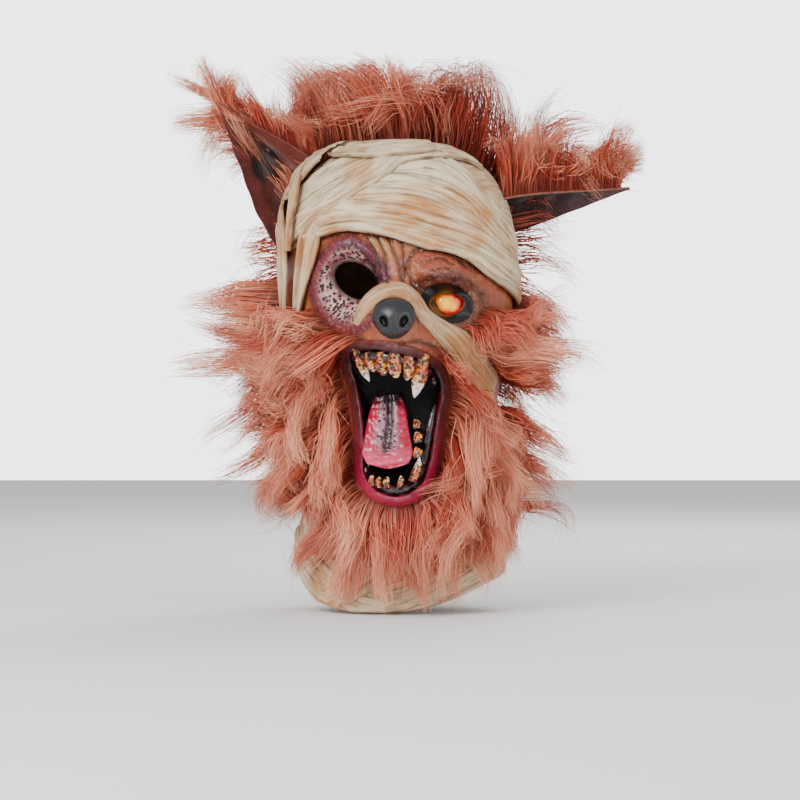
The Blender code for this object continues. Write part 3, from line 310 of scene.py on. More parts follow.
def piece(name, points, faces, made_of, paint=None, values=None):
    """A smooth mesh with its painted colours and stored values, on the root body."""
    mesh = bpy.data.meshes.new(name)
    points = np.asarray(points, float).reshape(-1, 3)
    mesh.from_pydata(points, [], faces)
    mesh.polygons.foreach_set("use_smooth", np.ones(len(mesh.polygons), bool))
    if paint is not None:
        stored = mesh.attributes.new("paint", "FLOAT_COLOR", "POINT")
        rgba = np.ones((len(points), 4))
        rgba[:, :3] = np.clip(paint, 0, 1).reshape(-1, 3)
        stored.data.foreach_set("color", rgba.ravel())
    for key, value in (values or {}).items():
        stored = mesh.attributes.new(key, "FLOAT", "POINT")
        stored.data.foreach_set("value", np.asarray(value, float).ravel())
    mesh.materials.append(made_of)
    made = bpy.data.objects.new(name, mesh)
    scene.collection.objects.link(made)
    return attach(made, "root")


def mouth_edge(level):
    """Points of the mouth's edge about its centre at levels of its table, and the ways out."""
    closed = np.concatenate([MOUTH_RIM[-1:], MOUTH_RIM, MOUTH_RIM[:2]]) * MOUTH_SIZE
    along = catmull_rom(closed, level + 0.02) - catmull_rom(closed, level - 0.02)
    along = along / np.linalg.norm(along, axis=-1, keepdims=True)
    return catmull_rom(closed, level), np.stack([-along[:, 1], along[:, 0]], -1)


def mouth_loop(count, grow):
    """Points x, z round the mouth's edge, moved outward by grow."""
    point, outward = mouth_edge(1 + np.linspace(0, len(MOUTH_RIM), count, endpoint=False))
    return point + outward * grow + MOUTH_CENTRE


def inside_loop(x, z, loop):
    """True where x, z lies inside a closed line, by counting the crossings."""
    inside = np.zeros(x.shape, bool)
    for (ax, az), (bx, bz) in zip(loop, np.roll(loop, -1, 0)):
        crossing = (az > z) != (bz > z)
        inside ^= crossing & (x < (bx - ax) * (z - az) / (bz - az + 1e-12) + ax)
    return inside


COLUMNS, ROWS = 270, 250
CROWDING = 0.62   # how much closer the columns stand at the face
share = np.linspace(-1, 1, COLUMNS, endpoint=False)
turns = 180 * (share - CROWDING * np.sin(np.pi * share) / np.pi)
rows = np.linspace(0, 1, ROWS)
drops = np.interp(rows, [0, 0.03, 0.10, 0.62, 0.90, 1],
                  [0.000001, 0.010, 0.16, 0.52, 0.86, 1.0])
TURN, DROP = np.broadcast_arrays(turns[None, :], drops[:, None])
head = skin_raw(TURN, DROP)
facing = smooth(np.cos(np.radians(TURN)), 0.05, 0.40)
X, Z = head[..., 0].copy(), head[..., 2].copy()
head[..., 1] -= sculpt(X, Z) * facing
hole = oval(X, Z, HOLE_CENTRE, HOLE_HALF, HOLE_TILT)
front = np.cos(np.radians(TURN)) > 0.1
in_mouth = inside_loop(X, Z, mouth_loop(200, 0.0035)) & front
opened = ((hole < 1) & front) | in_mouth
faces = grid_faces(ROWS, COLUMNS, True)
faces = faces[~opened.ravel()[faces].all(1)]
# Points of cut faces that are left inside the eye hole go to its outline
pulled = (hole < 1) & front & (hole > 0.3)
stretch = 1 / np.where(pulled, hole, 1)
for axis, flat, centre in ((0, X, HOLE_CENTRE[0] / 1000), (2, Z, HOLE_CENTRE[1] / 1000)):
    head[..., axis] = np.where(pulled, centre + (flat - centre) * stretch, head[..., axis])

# The airbrushing: orange tan, crimson and purple round the socket, black round the eye,
# terracotta brow, brown in the creases that is partly painted shade, and a painted shadow
# under the brow wrap's lower edge
shade = waves(X, Z, 0.030, 11)
socket = oval(X, Z, SOCKET_CENTRE, SOCKET_HALF, 8)
blotches = smooth(waves(X, Z, 0.014, 21), 0.0, 0.9)
upper_rim = line_distance(X, Z, [
    (-60.8, -98.8), (-45.6, -93.1), (-32.3, -103.5), (-20.9, -117.8), (-15.2, -133.0)])
lids = oval(X, Z, LENS_CENTRE, (25.0, 17.5), -8)
tint = painted(
    X.shape, "#A44F2A",
    ("#BE7038", smooth(shade, -0.5, 1.2) * 0.7),
    ("#93402C", smooth(oval(X, Z, (43.7, -117.8), (38, 26), -18), 1.25, 0.55) * 0.85),
    ("#C98750", smooth(oval(X, Z, (-20.9, -102.6), (17, 15), -30), 1.4, 0.5) * 0.85),
    ("#8E3F33", smooth(Z, -0.178, -0.205) * 0.8),
    ("#7E5A48", smooth(oval(X, Z, (28.5, -359.1), (50, 30)), 1.2, 0.5) * 0.8),
    ("#6E1226", bell(socket, 1.02, 0.22)),
    ("#DDB3AC", (1 - smooth(socket, 0.72, 0.98)) * 0.95),
    ("#A22C4C", (1 - smooth(socket, 0.80, 1.0)) * blotches * 0.75),
    ("#4B1830", bell(socket, 1.12, 0.08) * smooth(shade, -0.6, 0.6) * 0.8),
    ("#5A1C3C", bell(upper_rim, 0, 0.0042) * 0.9),
    ("#171315", bell(hole, 1.0, 0.16)),
    ("#3A3436", bell(hole, 1.25, 0.14) * 0.5),
    ("#140D0C", 1 - smooth(lids, 0.95, 1.35)),
    ("#3A140E", bell(lids, 1.42, 0.30) * 0.9))
# The dents of the creases painted dark brown: brown paint, and also painted shade in the creases
for height, width, line in CREASES:
    if height < 0:
        tint = blend(tint, "#210A06", bell(line_distance(X, Z, line) * 1e3, 0, 0.8 * width) * 0.92)
# Painted shadow: a dark brown line on the skin just under the lower edge of the brow wrap
brow_shadow_line = line_distance(X, Z, [
    (-95.0, -95.0), (-74.1, -90.2), (-47.5, -86.5), (0.0, -94.0), (47.5, -106.4),
    (76.0, -122.5), (106.4, -136.8)])
tint = blend(tint, "#3A1810", bell(brow_shadow_line, 0, 0.0035) * 0.85)
behind = smooth(head[..., 1], -0.02, 0.02)
tint = blend(tint, "#8A4226", behind)
dots = (1 - smooth(socket, 0.88, 1.0)) * smooth(hole, 1.12, 1.25) * (1 - behind)

# Satin latex: a soft highlight, mottled by the brush, with black dots in the socket
latex, tree, shader = new_material("painted_latex", 0.42, {
    "Coat Weight": 0.25, "Coat Roughness": 0.25, "Specular IOR Level": 0.45})
here = node(tree, "TexCoord", "Object")
cells = node(tree, "TexVoronoi", "Distance", here, ("Scale", 1 / 0.0036), ("Randomness", 0.9))
spotted = node(tree, "Math", 0, node(tree, "MapRange", "Result", cells, 0.52, 0.4),
    node(tree, "Attribute", "Fac", attribute_name="dots"), operation="MULTIPLY")
grain = node(tree, "TexNoise", "Fac", here, ("Scale", 1 / 0.006), ("Detail", 5.0))
sprayed = node(tree, "Attribute", "Color", attribute_name="paint")
mottled = node(tree, "Mix", 2, node(tree, "MapRange", "Result", grain, 0.35, 0.75, 0.0, 0.35),
    (6, sprayed), (7, "#4A2218"), data_type="RGBA")
grain = node(tree, "TexNoise", "Fac", here, ("Scale", 1 / 0.003), ("Detail", 4.0))
light = node(tree, "MapRange", "Result", grain, 0.52, 0.75, 0.0, 0.3)
mottled = node(tree, "Mix", 2, light, (6, mottled), (7, "#E2A27A"), data_type="RGBA")
tree.links.new(node(tree, "Mix", 2, spotted, (6, mottled), (7, "#1A0F12"), data_type="RGBA"),
    shader.inputs["Base Color"])
grain = node(tree, "TexNoise", "Fac", here, ("Scale", 1 / 0.0022), ("Detail", 6.0))
tree.links.new(node(tree, "Bump", "Normal", ("Height",
    node(tree, "Math", 0, grain, node(tree, "Math", 0, spotted, -0.5, operation="MULTIPLY"),
    operation="ADD")), ("Distance", 0.0007)), shader.inputs["Normal"])
shell = piece("head_skin", head, faces, latex, tint, {"dots": dots})
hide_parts("mask_shell")

# The inside of the shell: the same latex casting, plain and unpainted, one wall's
# thickness inside the face. It shows from below through the neck.
inner_rows = np.concatenate([[0.0006], drops[3::6], drops[-1:]])
TURN, DROP = np.broadcast_arrays(turns[None, ::3], inner_rows[:, None])
inside = skin(TURN, DROP, np.full(TURN.shape, -WALL))
inside[0] = inside[0].mean(0) + (inside[0] - inside[0].mean(0)) * 0.02
X, Z = inside[..., 0], inside[..., 2]
facing = smooth(np.cos(np.radians(TURN)), 0.05, 0.40)
inside[..., 1] += (np.clip(-sculpt(X, Z), 0, None) + 0.0012) * facing
hem = skin_raw(turns[None, ::3], drops[-1:, None])
inside = np.concatenate([inside, hem])
X, Z = inside[..., 0], inside[..., 2]
front = np.cos(np.radians(turns[None, ::3])) > 0.1
opened = oval(X, Z, HOLE_CENTRE, HOLE_HALF, HOLE_TILT) < 1.12
opened |= inside_loop(X, Z, mouth_loop(100, 0.006))
faces = grid_faces(len(inside), inside.shape[1], True)[:, ::-1]
faces = faces[~(opened & front).ravel()[faces].any(1)]
# Raw latex: matt, clouded from beige to tan
lining_latex, tree, shader = new_material("lining_latex", 0.6, {})
here = node(tree, "TexCoord", "Object")
grain = node(tree, "TexNoise", "Fac", here, ("Scale", 1 / 0.02), ("Detail", 3.0))
tree.links.new(node(tree, "Mix", 2, node(tree, "MapRange", "Result", grain, 0.3, 0.7),
    (6, "#A88A6A"), (7, "#8A6C50"), data_type="RGBA"), shader.inputs["Base Color"])
lining = piece("head_lining", inside, faces, lining_latex)

# The empty socket's edge: the latex is cut out for the eye and rolls inward behind the
# hole, where it is painted black.
RIM_POINTS = 96
around = np.linspace(0, 2 * np.pi, RIM_POINTS, endpoint=False)
tilted = math.radians(HOLE_TILT)
rim = []
# share of the hole's size, and way back from the face
for scale, back in ((1.03, -0.0008), (0.99, 0.0), (0.95, 0.0022), (0.93, 0.0065), (0.99, 0.0110)):
    along, across = HOLE_HALF[0] * scale * np.cos(around), HOLE_HALF[1] * scale * np.sin(around)
    rx = (HOLE_CENTRE[0] + along * math.cos(tilted) - across * math.sin(tilted)) / 1000
    rz = (HOLE_CENTRE[1] + along * math.sin(tilted) + across * math.cos(tilted)) / 1000
    rim.append(np.stack([rx, front_depth(rx, rz) - sculpt(rx, rz) + back, rz], -1))
# Black paint on latex, a dull gloss
black_latex, tree, shader = new_material("black_latex", 0.35, {})
shader.inputs["Base Color"].default_value = (*colour("#141114"), 1)
rim_piece = piece("socket_rim", rim, grid_faces(len(rim), RIM_POINTS, True)[:, ::-1], black_latex)

# The glowing eye: a clear cast lens, painted from behind, yellow to red, so it shines
# between black lids. Its glow is a weak emission of its own colours.
LENS_SIDE, LENS_UP, LENS_SWELL, LENS_SEAT = 0.0165, 0.0140, 0.0078, 0.0040
LENS_ROWS, LENS_POINTS = 28, 64
lens, tree, shader = new_material("eye_lens", 0.10, {"Coat Weight": 0.4, "Coat Roughness": 0.03})
sprayed = node(tree, "Attribute", "Color", attribute_name="paint")
tree.links.new(sprayed, shader.inputs["Base Color"])
sprayed = node(tree, "Attribute", "Color", attribute_name="paint")
tree.links.new(sprayed, shader.inputs["Emission Color"])
shader.inputs["Emission Strength"].default_value = 0.42
polar, around = np.meshgrid(np.linspace(0, np.pi / 2, LENS_ROWS),
                            np.linspace(0, 2 * np.pi, LENS_POINTS, endpoint=False), indexing="ij")
lens_x, lens_z = LENS_CENTRE[0] / 1000, LENS_CENTRE[1] / 1000
lens_y = float(front_depth(np.array(lens_x), np.array(lens_z)))
ball = np.stack([lens_x + LENS_SIDE * np.sin(polar) * np.cos(around),
                 lens_y + LENS_SEAT - LENS_SWELL * np.cos(polar),
                 lens_z + LENS_UP * np.sin(polar) * np.sin(around)], -1)
core = oval(ball[..., 0], ball[..., 2], (LENS_CENTRE[0] - 0.5, LENS_CENTRE[1] + 0.5), (12.0, 8.5),
    -12)
core = core + 0.10 * waves(ball[..., 0], ball[..., 2], 0.008, 5)
glow = painted(core.shape, "#2A0303",
               ("#8A0800", 1 - smooth(core, 1.10, 1.45)), ("#D83C00", 1 - smooth(core, 0.92, 1.16)),
               ("#F59A00", 1 - smooth(core, 0.62, 0.98)),
               ("#FFD21A", (1 - smooth(core, 0.15, 0.72)) * 0.95))
eye = piece("eye_lens", ball, grid_faces(LENS_ROWS, LENS_POINTS, True)[:, ::-1], lens, glow)
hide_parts("eyeball")

# Its lids: a rolled almond rim, black latex with a thin red wet line inside. Each ring
# lies a share of the way from the opening to the outer edge, lifted off the face.
LID_POINTS = 128
LID_RINGS = ((0.0, 0.0045), (0.06, -0.0006), (0.16, -0.0030), (0.32, -0.0040), (0.52, -0.0034),
             (0.75, -0.0015), (1.0, 0.0012))
around = np.linspace(0, 2 * np.pi, LID_POINTS, endpoint=False)
ca, sa = np.cos(around), np.sin(around)
inner_x, inner_z = 0.0150 * ca, 0.0098 * sa + (0.0012 * ca - np.where(sa > 0, 0.0016, 0) * sa ** 2)
outer_x, outer_z = 0.0245 * ca, 0.0180 * sa - 0.0030 * ca
lid_rows = []
for share, lift in LID_RINGS:
    px = lens_x + (inner_x * (1 - share) + outer_x * share)
    pz = lens_z + (inner_z * (1 - share) + outer_z * share)
    plain = front_depth(px, pz)
    py = (lens_y - 0.0030) * (1 - share) + (plain - sculpt(px, pz)) * share + lift
    if share > 0.1:
        proud = plain - 0.0012 * math.sin(math.pi * min(share * 1.2, 1))
        py = np.minimum(py + 0.0004 * np.sin(9 * around + 3 * share), proud)
    lid_rows.append(np.stack([px, py, pz], -1))
lid_rows = np.array(lid_rows)
lid_paint = painted(lid_rows.shape[:2], "#100B0B").copy()
lid_paint[:2] = colour("#B0241A")
# Black painted latex under a thin clear coat, which catches a wet highlight
lid_latex, tree, shader = new_material("lid_latex", 0.42, {
    "Coat Weight": 0.25, "Coat Roughness": 0.15, "Specular IOR Level": 0.3})
sprayed = node(tree, "Attribute", "Color", attribute_name="paint")
tree.links.new(sprayed, shader.inputs["Base Color"])
lids_piece = piece("eyelids", lid_rows, grid_faces(len(LID_RINGS), LID_POINTS, True)[:, ::-1],
                   lid_latex, lid_paint)

# The nose pad: a latex casting painted charcoal, with two comma-shaped nostrils and a
# groove between them. It is bonded to the end of the muzzle.
NOSE_PLACE = (-5.7, -169.1)
NOSE_SIDE, NOSE_UP, NOSE_REACH, NOSE_SEAT = 0.0205, 0.0195, 0.0180, 0.0050
NOSE_ROWS, NOSE_POINTS = 70, 110
polar, around = np.meshgrid(np.linspace(0.001, np.pi * 0.72, NOSE_ROWS),
                            np.linspace(0, 2 * np.pi, NOSE_POINTS, endpoint=False), indexing="ij")
nose_x, nose_z = NOSE_PLACE[0] / 1000, NOSE_PLACE[1] / 1000
nose_y = float(front_depth(np.array(nose_x), np.array(nose_z)))
nx, nz, ny = np.sin(polar) * np.cos(around), np.sin(polar) * np.sin(around), np.cos(polar)
width = NOSE_SIDE * (1 + 0.10 * nz) * (1 - 0.10 * np.clip(-nz, 0, 1))
nose = np.stack([nose_x + width * nx, nose_y + NOSE_SEAT - NOSE_REACH * ny,
                 nose_z + NOSE_UP * nz - 0.0015 * ny], -1)
pit = np.zeros(polar.shape)
for side in (-1, 1):
    px, pz = nx - side * 0.46, nz + 0.10
    pit += 0.0075 * np.exp(-((px / 0.17) ** 2 + ((pz - 0.35 * side * px) / 0.24) ** 2) ** 1.6)
    pit += 0.0026 * np.exp(-(((nx - side * 0.72) / 0.20) ** 2 + ((nz + 0.34) / 0.12) ** 2))
pit += 0.0016 * bell(nx, 0, 0.08) * smooth(-nz, -0.25, 0.30)
nose[..., 1] += pit * smooth(ny, -0.05, 0.25)
# The nostrils painted near black the deeper they go: painted shade
nose_paint = painted(pit.shape, "#1A1C20", ("#030304", smooth(pit, 0.0016, 0.0050)))
# Satin charcoal paint over fine pores
nose_latex, tree, shader = new_material("nose_latex", 0.38,
    {"Coat Weight": 0.25, "Coat Roughness": 0.25})
here = node(tree, "TexCoord", "Object")
sprayed = node(tree, "Attribute", "Color", attribute_name="paint")
tree.links.new(sprayed, shader.inputs["Base Color"])
grain = node(tree, "TexNoise", "Fac", here, ("Scale", 1 / 0.0012), ("Detail", 5.0))
tree.links.new(node(tree, "Bump", "Normal", ("Height", grain), ("Distance", 0.00035)),
    shader.inputs["Normal"])
nose_piece = piece("nose_pad", nose, grid_faces(NOSE_ROWS, NOSE_POINTS, True)[:, ::-1],
                   nose_latex, nose_paint)
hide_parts("nose")

# Lips and throat in one latex casting, bonded into the mouth's opening: a rolled glossy
# lip and a dull black pocket behind, black paint that deepens inward as painted shade.
COUNT = 240
LIP_RADIUS, THROAT_DEPTH = 0.0046, -0.092
# way back to the throat's end, and way in to the mouth's middle, both as shares
THROAT_RINGS = ((0.06, 0.004), (0.12, 0.012), (0.20, 0.02), (0.30, 0.03), (0.42, 0.04),
    (0.55, 0.06),
                (0.68, 0.09), (0.80, 0.14), (0.90, 0.22), (0.97, 0.38), (1.0, 0.6), (1.0, 0.98))
lip_rows, lip_paint = [], []
edge = mouth_loop(COUNT, 0)
lip_y = front_depth(edge[:, 0], edge[:, 1]) - sculpt(edge[:, 0], edge[:, 1])
lower = smooth(-(edge[:, 1] - MOUTH_CENTRE[1]), -0.02, 0.055)
ripple = 0.0005 * np.sin(np.arange(COUNT) * 0.9) + 0.0004 * np.sin(np.arange(COUNT) * 0.37 + 1)
middle = edge.mean(0)
for turn in np.linspace(-50, 185, 16):
    flat = mouth_loop(COUNT, LIP_RADIUS * (1 + math.cos(math.radians(turn))))
    depth = front_depth(flat[:, 0], flat[:, 1]) - sculpt(flat[:, 0], flat[:, 1])
    depth = depth - (0.0040 + ripple) * math.sin(math.radians(turn)) * (0.75 + 0.5 * lower)
    lip_rows.append(np.stack([flat[:, 0], depth, flat[:, 1]], -1))
    share = smooth(np.array(float(turn)), 20, 120)
    lip_paint.append(painted((COUNT,), "#6E2A1E", ("#B81C4A", lower * 0.95),
                             ("#3A0E1A", share * (0.9 - 0.55 * lower))))
for share, shrink in THROAT_RINGS:
    flat = edge + (middle - edge) * shrink
    fold = 0.0007 * np.sin(np.arange(COUNT) * 0.55 + 9 * share)
    flat = flat + (middle - flat) * (fold / np.linalg.norm(middle - flat, axis=1))[:, None]
    lip_rows.append(np.stack([flat[:, 0], lip_y + (THROAT_DEPTH - lip_y) * share, flat[:, 1]], -1))
    sides = smooth(np.abs(edge[:, 0] - middle[0]), 0.020, 0.034)
    sides = sides * (edge[:, 1] < MOUTH_CENTRE[1] + 0.03)
    # Throat rings: red near the lips and black deeper in, black paint and painted shade of the
    # pocket
    lip_paint.append(painted(
        (COUNT,), "#040203", ("#6E142C", bell(share, 0.12, 0.16) * (0.15 + 0.6 * lower)),
        ("#8A1230", sides * smooth(np.array(0.70 - share), 0, 0.5) * 0.75)))
# Thin varnish over mottled dark red paint
lip_latex, tree, shader = new_material("lip_latex", 0.40,
    {"Coat Weight": 0.20, "Coat Roughness": 0.12})
here = node(tree, "TexCoord", "Object")
grain = node(tree, "TexNoise", "Fac", here, ("Scale", 1 / 0.004), ("Detail", 4.0))
sprayed = node(tree, "Attribute", "Color", attribute_name="paint")
tree.links.new(node(tree, "Mix", 2, node(tree, "MapRange", "Result", grain, 0.5, 0.75, 0.0, 0.5),
    (6, sprayed), (7, "#1E070C"), data_type="RGBA"), shader.inputs["Base Color"])
grain = node(tree, "TexNoise", "Fac", here, ("Scale", 1 / 0.0028), ("Detail", 5.0))
tree.links.new(node(tree, "Bump", "Normal", ("Height", grain), ("Distance", 0.0008)),
    shader.inputs["Normal"])
LIP_END = 19   # rings of the lip, the last of which the throat starts from
lips = piece("lips", lip_rows[:LIP_END], grid_faces(LIP_END, COUNT, True)[:, ::-1],
             lip_latex, lip_paint[:LIP_END])
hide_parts("mouth_lining")
# Dull black paint over soft folds, which swallows the light; the near black deep in the
# pocket is painted shade as well
throat_latex, tree, shader = new_material("throat_latex", 0.50, {"Specular IOR Level": 0.12})
here = node(tree, "TexCoord", "Object")
sprayed = node(tree, "Attribute", "Color", attribute_name="paint")
tree.links.new(sprayed, shader.inputs["Base Color"])
grain = node(tree, "TexNoise", "Fac", here, ("Scale", 1 / 0.0045), ("Detail", 4.0))
tree.links.new(node(tree, "Bump", "Normal", ("Height", grain), ("Distance", 0.0012)),
    shader.inputs["Normal"])
throat_rows = lip_rows[LIP_END - 1:]
throat = piece("throat", throat_rows, grid_faces(len(throat_rows), COUNT, True)[:, ::-1],
               throat_latex, lip_paint[LIP_END - 1:])

# The gums: cast latex ridges that the teeth stand in, round in section and closed at both
# ends. They follow the mouth's edge a little inside and behind the lips.


def gum_line(levels, inset, setback):
    """Points along a gum, inset from the mouth's edge and set back behind the lips."""
    point, outward = mouth_edge(1 + np.asarray(levels, float))
    lip = point + MOUTH_CENTRE
    flat = lip - outward * inset
    return np.stack([flat[:, 0], front_depth(lip[:, 0], lip[:, 1]) + setback, flat[:, 1]], -1)


def tube(path, radii, sides):
    """Rings of a round body along a path, closed over its ends by its radii."""
    path = np.asarray(path, float)
    along = np.gradient(path, axis=0)
    along /= np.linalg.norm(along, axis=-1, keepdims=True)
    side = np.cross(along, (0.13, -0.97, 0.21))
    side /= np.linalg.norm(side, axis=-1, keepdims=True)
    other = np.cross(side, along)
    angle = np.linspace(0, 2 * np.pi, sides, endpoint=False)
    ring = np.cos(angle)[None, :, None] * side[:, None]
    ring = ring + np.sin(angle)[None, :, None] * other[:, None]
    return path[:, None] + np.asarray(radii)[:, None, None] * ring


# Thick varnish, wet to the eye, over black paint with red patches
gum_latex, tree, shader = new_material("gum_latex", 0.18,
    {"Coat Weight": 0.8, "Coat Roughness": 0.08})
here = node(tree, "TexCoord", "Object")
grain = node(tree, "TexNoise", "Fac", here, ("Scale", 1 / 0.005), ("Detail", 4.0))
tree.links.new(node(tree, "Mix", 2, node(tree, "MapRange", "Result", grain, 0.5, 0.72),
    (6, "#0E0809"), (7, "#5E1624"), data_type="RGBA"), shader.inputs["Base Color"])
grain = node(tree, "TexNoise", "Fac", here, ("Scale", 1 / 0.003), ("Detail", 4.0))
tree.links.new(node(tree, "Bump", "Normal", ("Height", grain), ("Distance", 0.0009)),
    shader.inputs["Normal"])
GUM_RINGS, GUM_SIDES, GUM_RADIUS = 60, 16, 0.0048
for name, first, last in (("upper_gum", -0.4, 4.6), ("lower_gum", 5.2, 12.6)):
    path = gum_line(np.linspace(first, last, GUM_RINGS), 0.0052, 0.0085)
    swell = GUM_RADIUS * np.sqrt(np.clip(1 - np.linspace(-1, 1, GUM_RINGS) ** 8, 0.0004, 1))
    swell = swell * (1 + 0.12 * np.sin(np.arange(GUM_RINGS) * 1.1))
    gum = piece(name, tube(path, swell, GUM_SIDES), grid_faces(GUM_RINGS, GUM_SIDES, True),
        gum_latex)

# The teeth: cast ivory plastic, stained orange, red and black from the gum down, each one
# pushed into the gum.
# x, z of the root and of the tip in mm, width and depth in mm, bluntness
UPPER_TEETH = [
    ((-38.9, -201.4), (-28.5, -228.0), 12.5, 10.0, 0.30),
    ((-28.5, -203.3), (-23.8, -219.0), 10.5, 8.0, 0.95),
    ((-17.1, -204.2), (-14.7, -222.8), 12.0, 8.5, 1.0),
    ((-4.8, -204.7), (-3.3, -225.1), 13.5, 9.0, 1.0),
    ((7.6, -207.1), (6.2, -227.0), 11.5, 8.0, 0.85),
    ((19.5, -209.0), (13.3, -243.2), 17.0, 13.0, 0.40)]
LOWER_TEETH = [
    ((-34.2, -320.1), (-32.3, -308.8), 6.5, 6.0, 0.35),
    ((-26.1, -323.9), (-25.6, -315.4), 6.5, 5.5, 0.85),
    ((-19.0, -325.4), (-19.0, -316.8), 6.5, 5.5, 0.85),
    ((-11.9, -325.4), (-11.4, -316.8), 7.0, 5.5, 0.85),
    ((-0.9, -324.9), (0.9, -315.4), 6.0, 5.5, 0.75),
    ((12.8, -317.3), (18.5, -298.3), 9.0, 8.0, 0.30),
    ((16.6, -297.3), (15.2, -288.8), 9.5, 7.5, 0.70),
    ((16.6, -283.1), (15.2, -274.6), 9.0, 7.5, 0.75),
    ((15.7, -269.8), (13.8, -263.1), 8.0, 6.5, 0.75)]
TOOTH_RINGS, TOOTH_SIDES = 22, 20
# Hard glossy plastic, ivory at the tip, with yellow, red and black stain to the gum
enamel, tree, shader = new_material("tooth_enamel", 0.20,
    {"Coat Weight": 0.6, "Coat Roughness": 0.05})
here = node(tree, "TexCoord", "Object")
grain = node(tree, "TexNoise", "Fac", here, ("Scale", 1 / 0.0035), ("Detail", 3.0))
stain = node(tree, "Math", 0, node(tree, "Attribute", "Fac", attribute_name="height"),
    node(tree, "MapRange", "Result", grain, 0.3, 0.7, -0.3, 0.3), operation="ADD")
body = node(tree, "Mix", 2, node(tree, "MapRange", "Result", stain, 0.66, 0.9), (6, "#C8701A"),
    (7, "#EFE6D2"), data_type="RGBA")
for size, low, high, from_tip, to_gum, code in (
        (0.0030, 0.50, 0.60, 0.90, 0.70, "#EFB840"), (0.0042, 0.46, 0.56, 0.88, 0.62, "#A82410")):
    grain = node(tree, "TexNoise", "Fac", here, ("Scale", 1 / size), ("Detail", 2.0))
    patch = node(tree, "Math", 0, node(tree, "MapRange", "Result", grain, low, high),
        node(tree, "MapRange", "Result", stain, from_tip, to_gum), operation="MULTIPLY")
    body = node(tree, "Mix", 2, patch, (6, body), (7, code), data_type="RGBA")
cells = node(tree, "TexVoronoi", "Distance", here, ("Scale", 1 / 0.0038))
black = node(tree, "Math", 0, node(tree, "MapRange", "Result", cells, 0.5, 0.36),
    node(tree, "MapRange", "Result", stain, 1.0, 0.72), operation="MULTIPLY")
black = node(tree, "Math", 0, black, node(tree, "MapRange", "Result", stain, 0.02, -0.12),
    operation="MAXIMUM")
tree.links.new(node(tree, "Mix", 2, black, (6, body), (7, "#170C08"), data_type="RGBA"),
    shader.inputs["Base Color"])
grain = node(tree, "TexNoise", "Fac", here, ("Scale", 1 / 0.0022), ("Detail", 4.0))
tree.links.new(node(tree, "Bump", "Normal", ("Height", grain), ("Distance", 0.0004)),
    shader.inputs["Normal"])


def tooth(root, tip, width, depth, blunt, setback):
    """Rings of one tooth from inside the gum to its tip, and their heights for the stains.

    Its width falls off with the height to a power that grows with its bluntness, its
    section is an oval drawn a little toward a box, and it bows away from the middle.
    """
    root, tip = np.array(root) / 1000, np.array(tip) / 1000
    share = np.linspace(-0.22, 1, TOOTH_RINGS)
    up = np.clip(share, 0, 1)
    line = root + (tip - root) * share[:, None]
    bend = np.sin(up * np.pi) * 0.0012 * np.sign(root[0] - MOUTH_CENTRE[0] + 1e-6)
    y = float(front_depth(*root[:, None])[0]) + setback + 0.0030 * up ** 2
    taper = 1 - up ** (1.2 + 3.4 * blunt) * (0.95 - 0.10 * blunt)
    taper = taper * np.sqrt(np.clip((1.0 - share) / 0.07, 0.003, 1))
    taper = taper * (0.86 + 0.14 * np.sin(np.clip(share, 0, 0.5) * np.pi))
    angle = np.linspace(0, 2 * np.pi, TOOTH_SIDES, endpoint=False)
    ca, sa = np.cos(angle), np.sin(angle)
    ca, sa = np.sign(ca) * np.abs(ca) ** 0.85, np.sign(sa) * np.abs(sa) ** 0.85
    axis = (tip - root) / np.linalg.norm(tip - root)
    half_w, half_d = width / 2000 * taper, depth / 2000 * taper ** 0.8
    ring = np.empty((TOOTH_RINGS, TOOTH_SIDES, 3))
    ring[..., 0] = (line[:, 0] + bend)[:, None] + half_w[:, None] * ca * -axis[1]
    ring[..., 2] = line[:, 1][:, None] + half_w[:, None] * ca * axis[0]
    ring[..., 1] = y[:, None] + half_d[:, None] * sa - 0.0006 * (1 - np.abs(ca)) * taper[:, None]
    return ring.reshape(-1, 3), np.repeat(up * (1.30 if blunt < 0.5 else 0.80), TOOTH_SIDES)


for name, table, setback, node_name in (("upper_fangs", UPPER_TEETH, 0.0035, "upper_teeth"),
                                        ("lower_fangs", LOWER_TEETH, 0.0050, "lower_teeth")):
    points, heights = zip(*(tooth(*row, setback) for row in table))
    faces = [grid_faces(TOOTH_RINGS, TOOTH_SIDES, True) + number * TOOTH_RINGS * TOOTH_SIDES
             for number in range(len(table))]
    teeth = piece(name, np.concatenate(points), np.concatenate(faces), enamel, None,
                  {"height": np.concatenate(heights)})
    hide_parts(node_name)

# The tongue: cast latex painted magenta under a clear coat, grey and dotted along its
# middle groove. Its root is bonded into the throat, and its tip lies on the lower lip.
TONGUE_ROWS, TONGUE_POINTS = 90, 72
TONGUE_TOP, TONGUE_TIP, TONGUE_BACK = -237.5 / 1000, -309.7 / 1000, -0.0935
along, around = np.meshgrid(np.linspace(0, 1, TONGUE_ROWS),
                            np.linspace(0, 2 * np.pi, TONGUE_POINTS, endpoint=False), indexing="ij")
half = np.interp(along, [0, 0.25, 0.55, 0.80, 0.93, 1],
    [0.0125, 0.0175, 0.0215, 0.0245, 0.0200, 0.0030])
tongue_x = np.interp(along, [0, 0.5, 1], [-10.4, -12.3, -11.4]) / 1000
tongue_z = TONGUE_TOP + (TONGUE_TIP - TONGUE_TOP) * along
lip_low = float(front_depth(np.array(-0.011), np.array(-0.310)))
tongue_y = TONGUE_BACK + (lip_low + 0.019 - TONGUE_BACK) * along ** 0.9 - 0.0040 * np.sin(along
    * np.pi)
ca, sa = np.cos(around), np.sin(around)
above = sa > 0
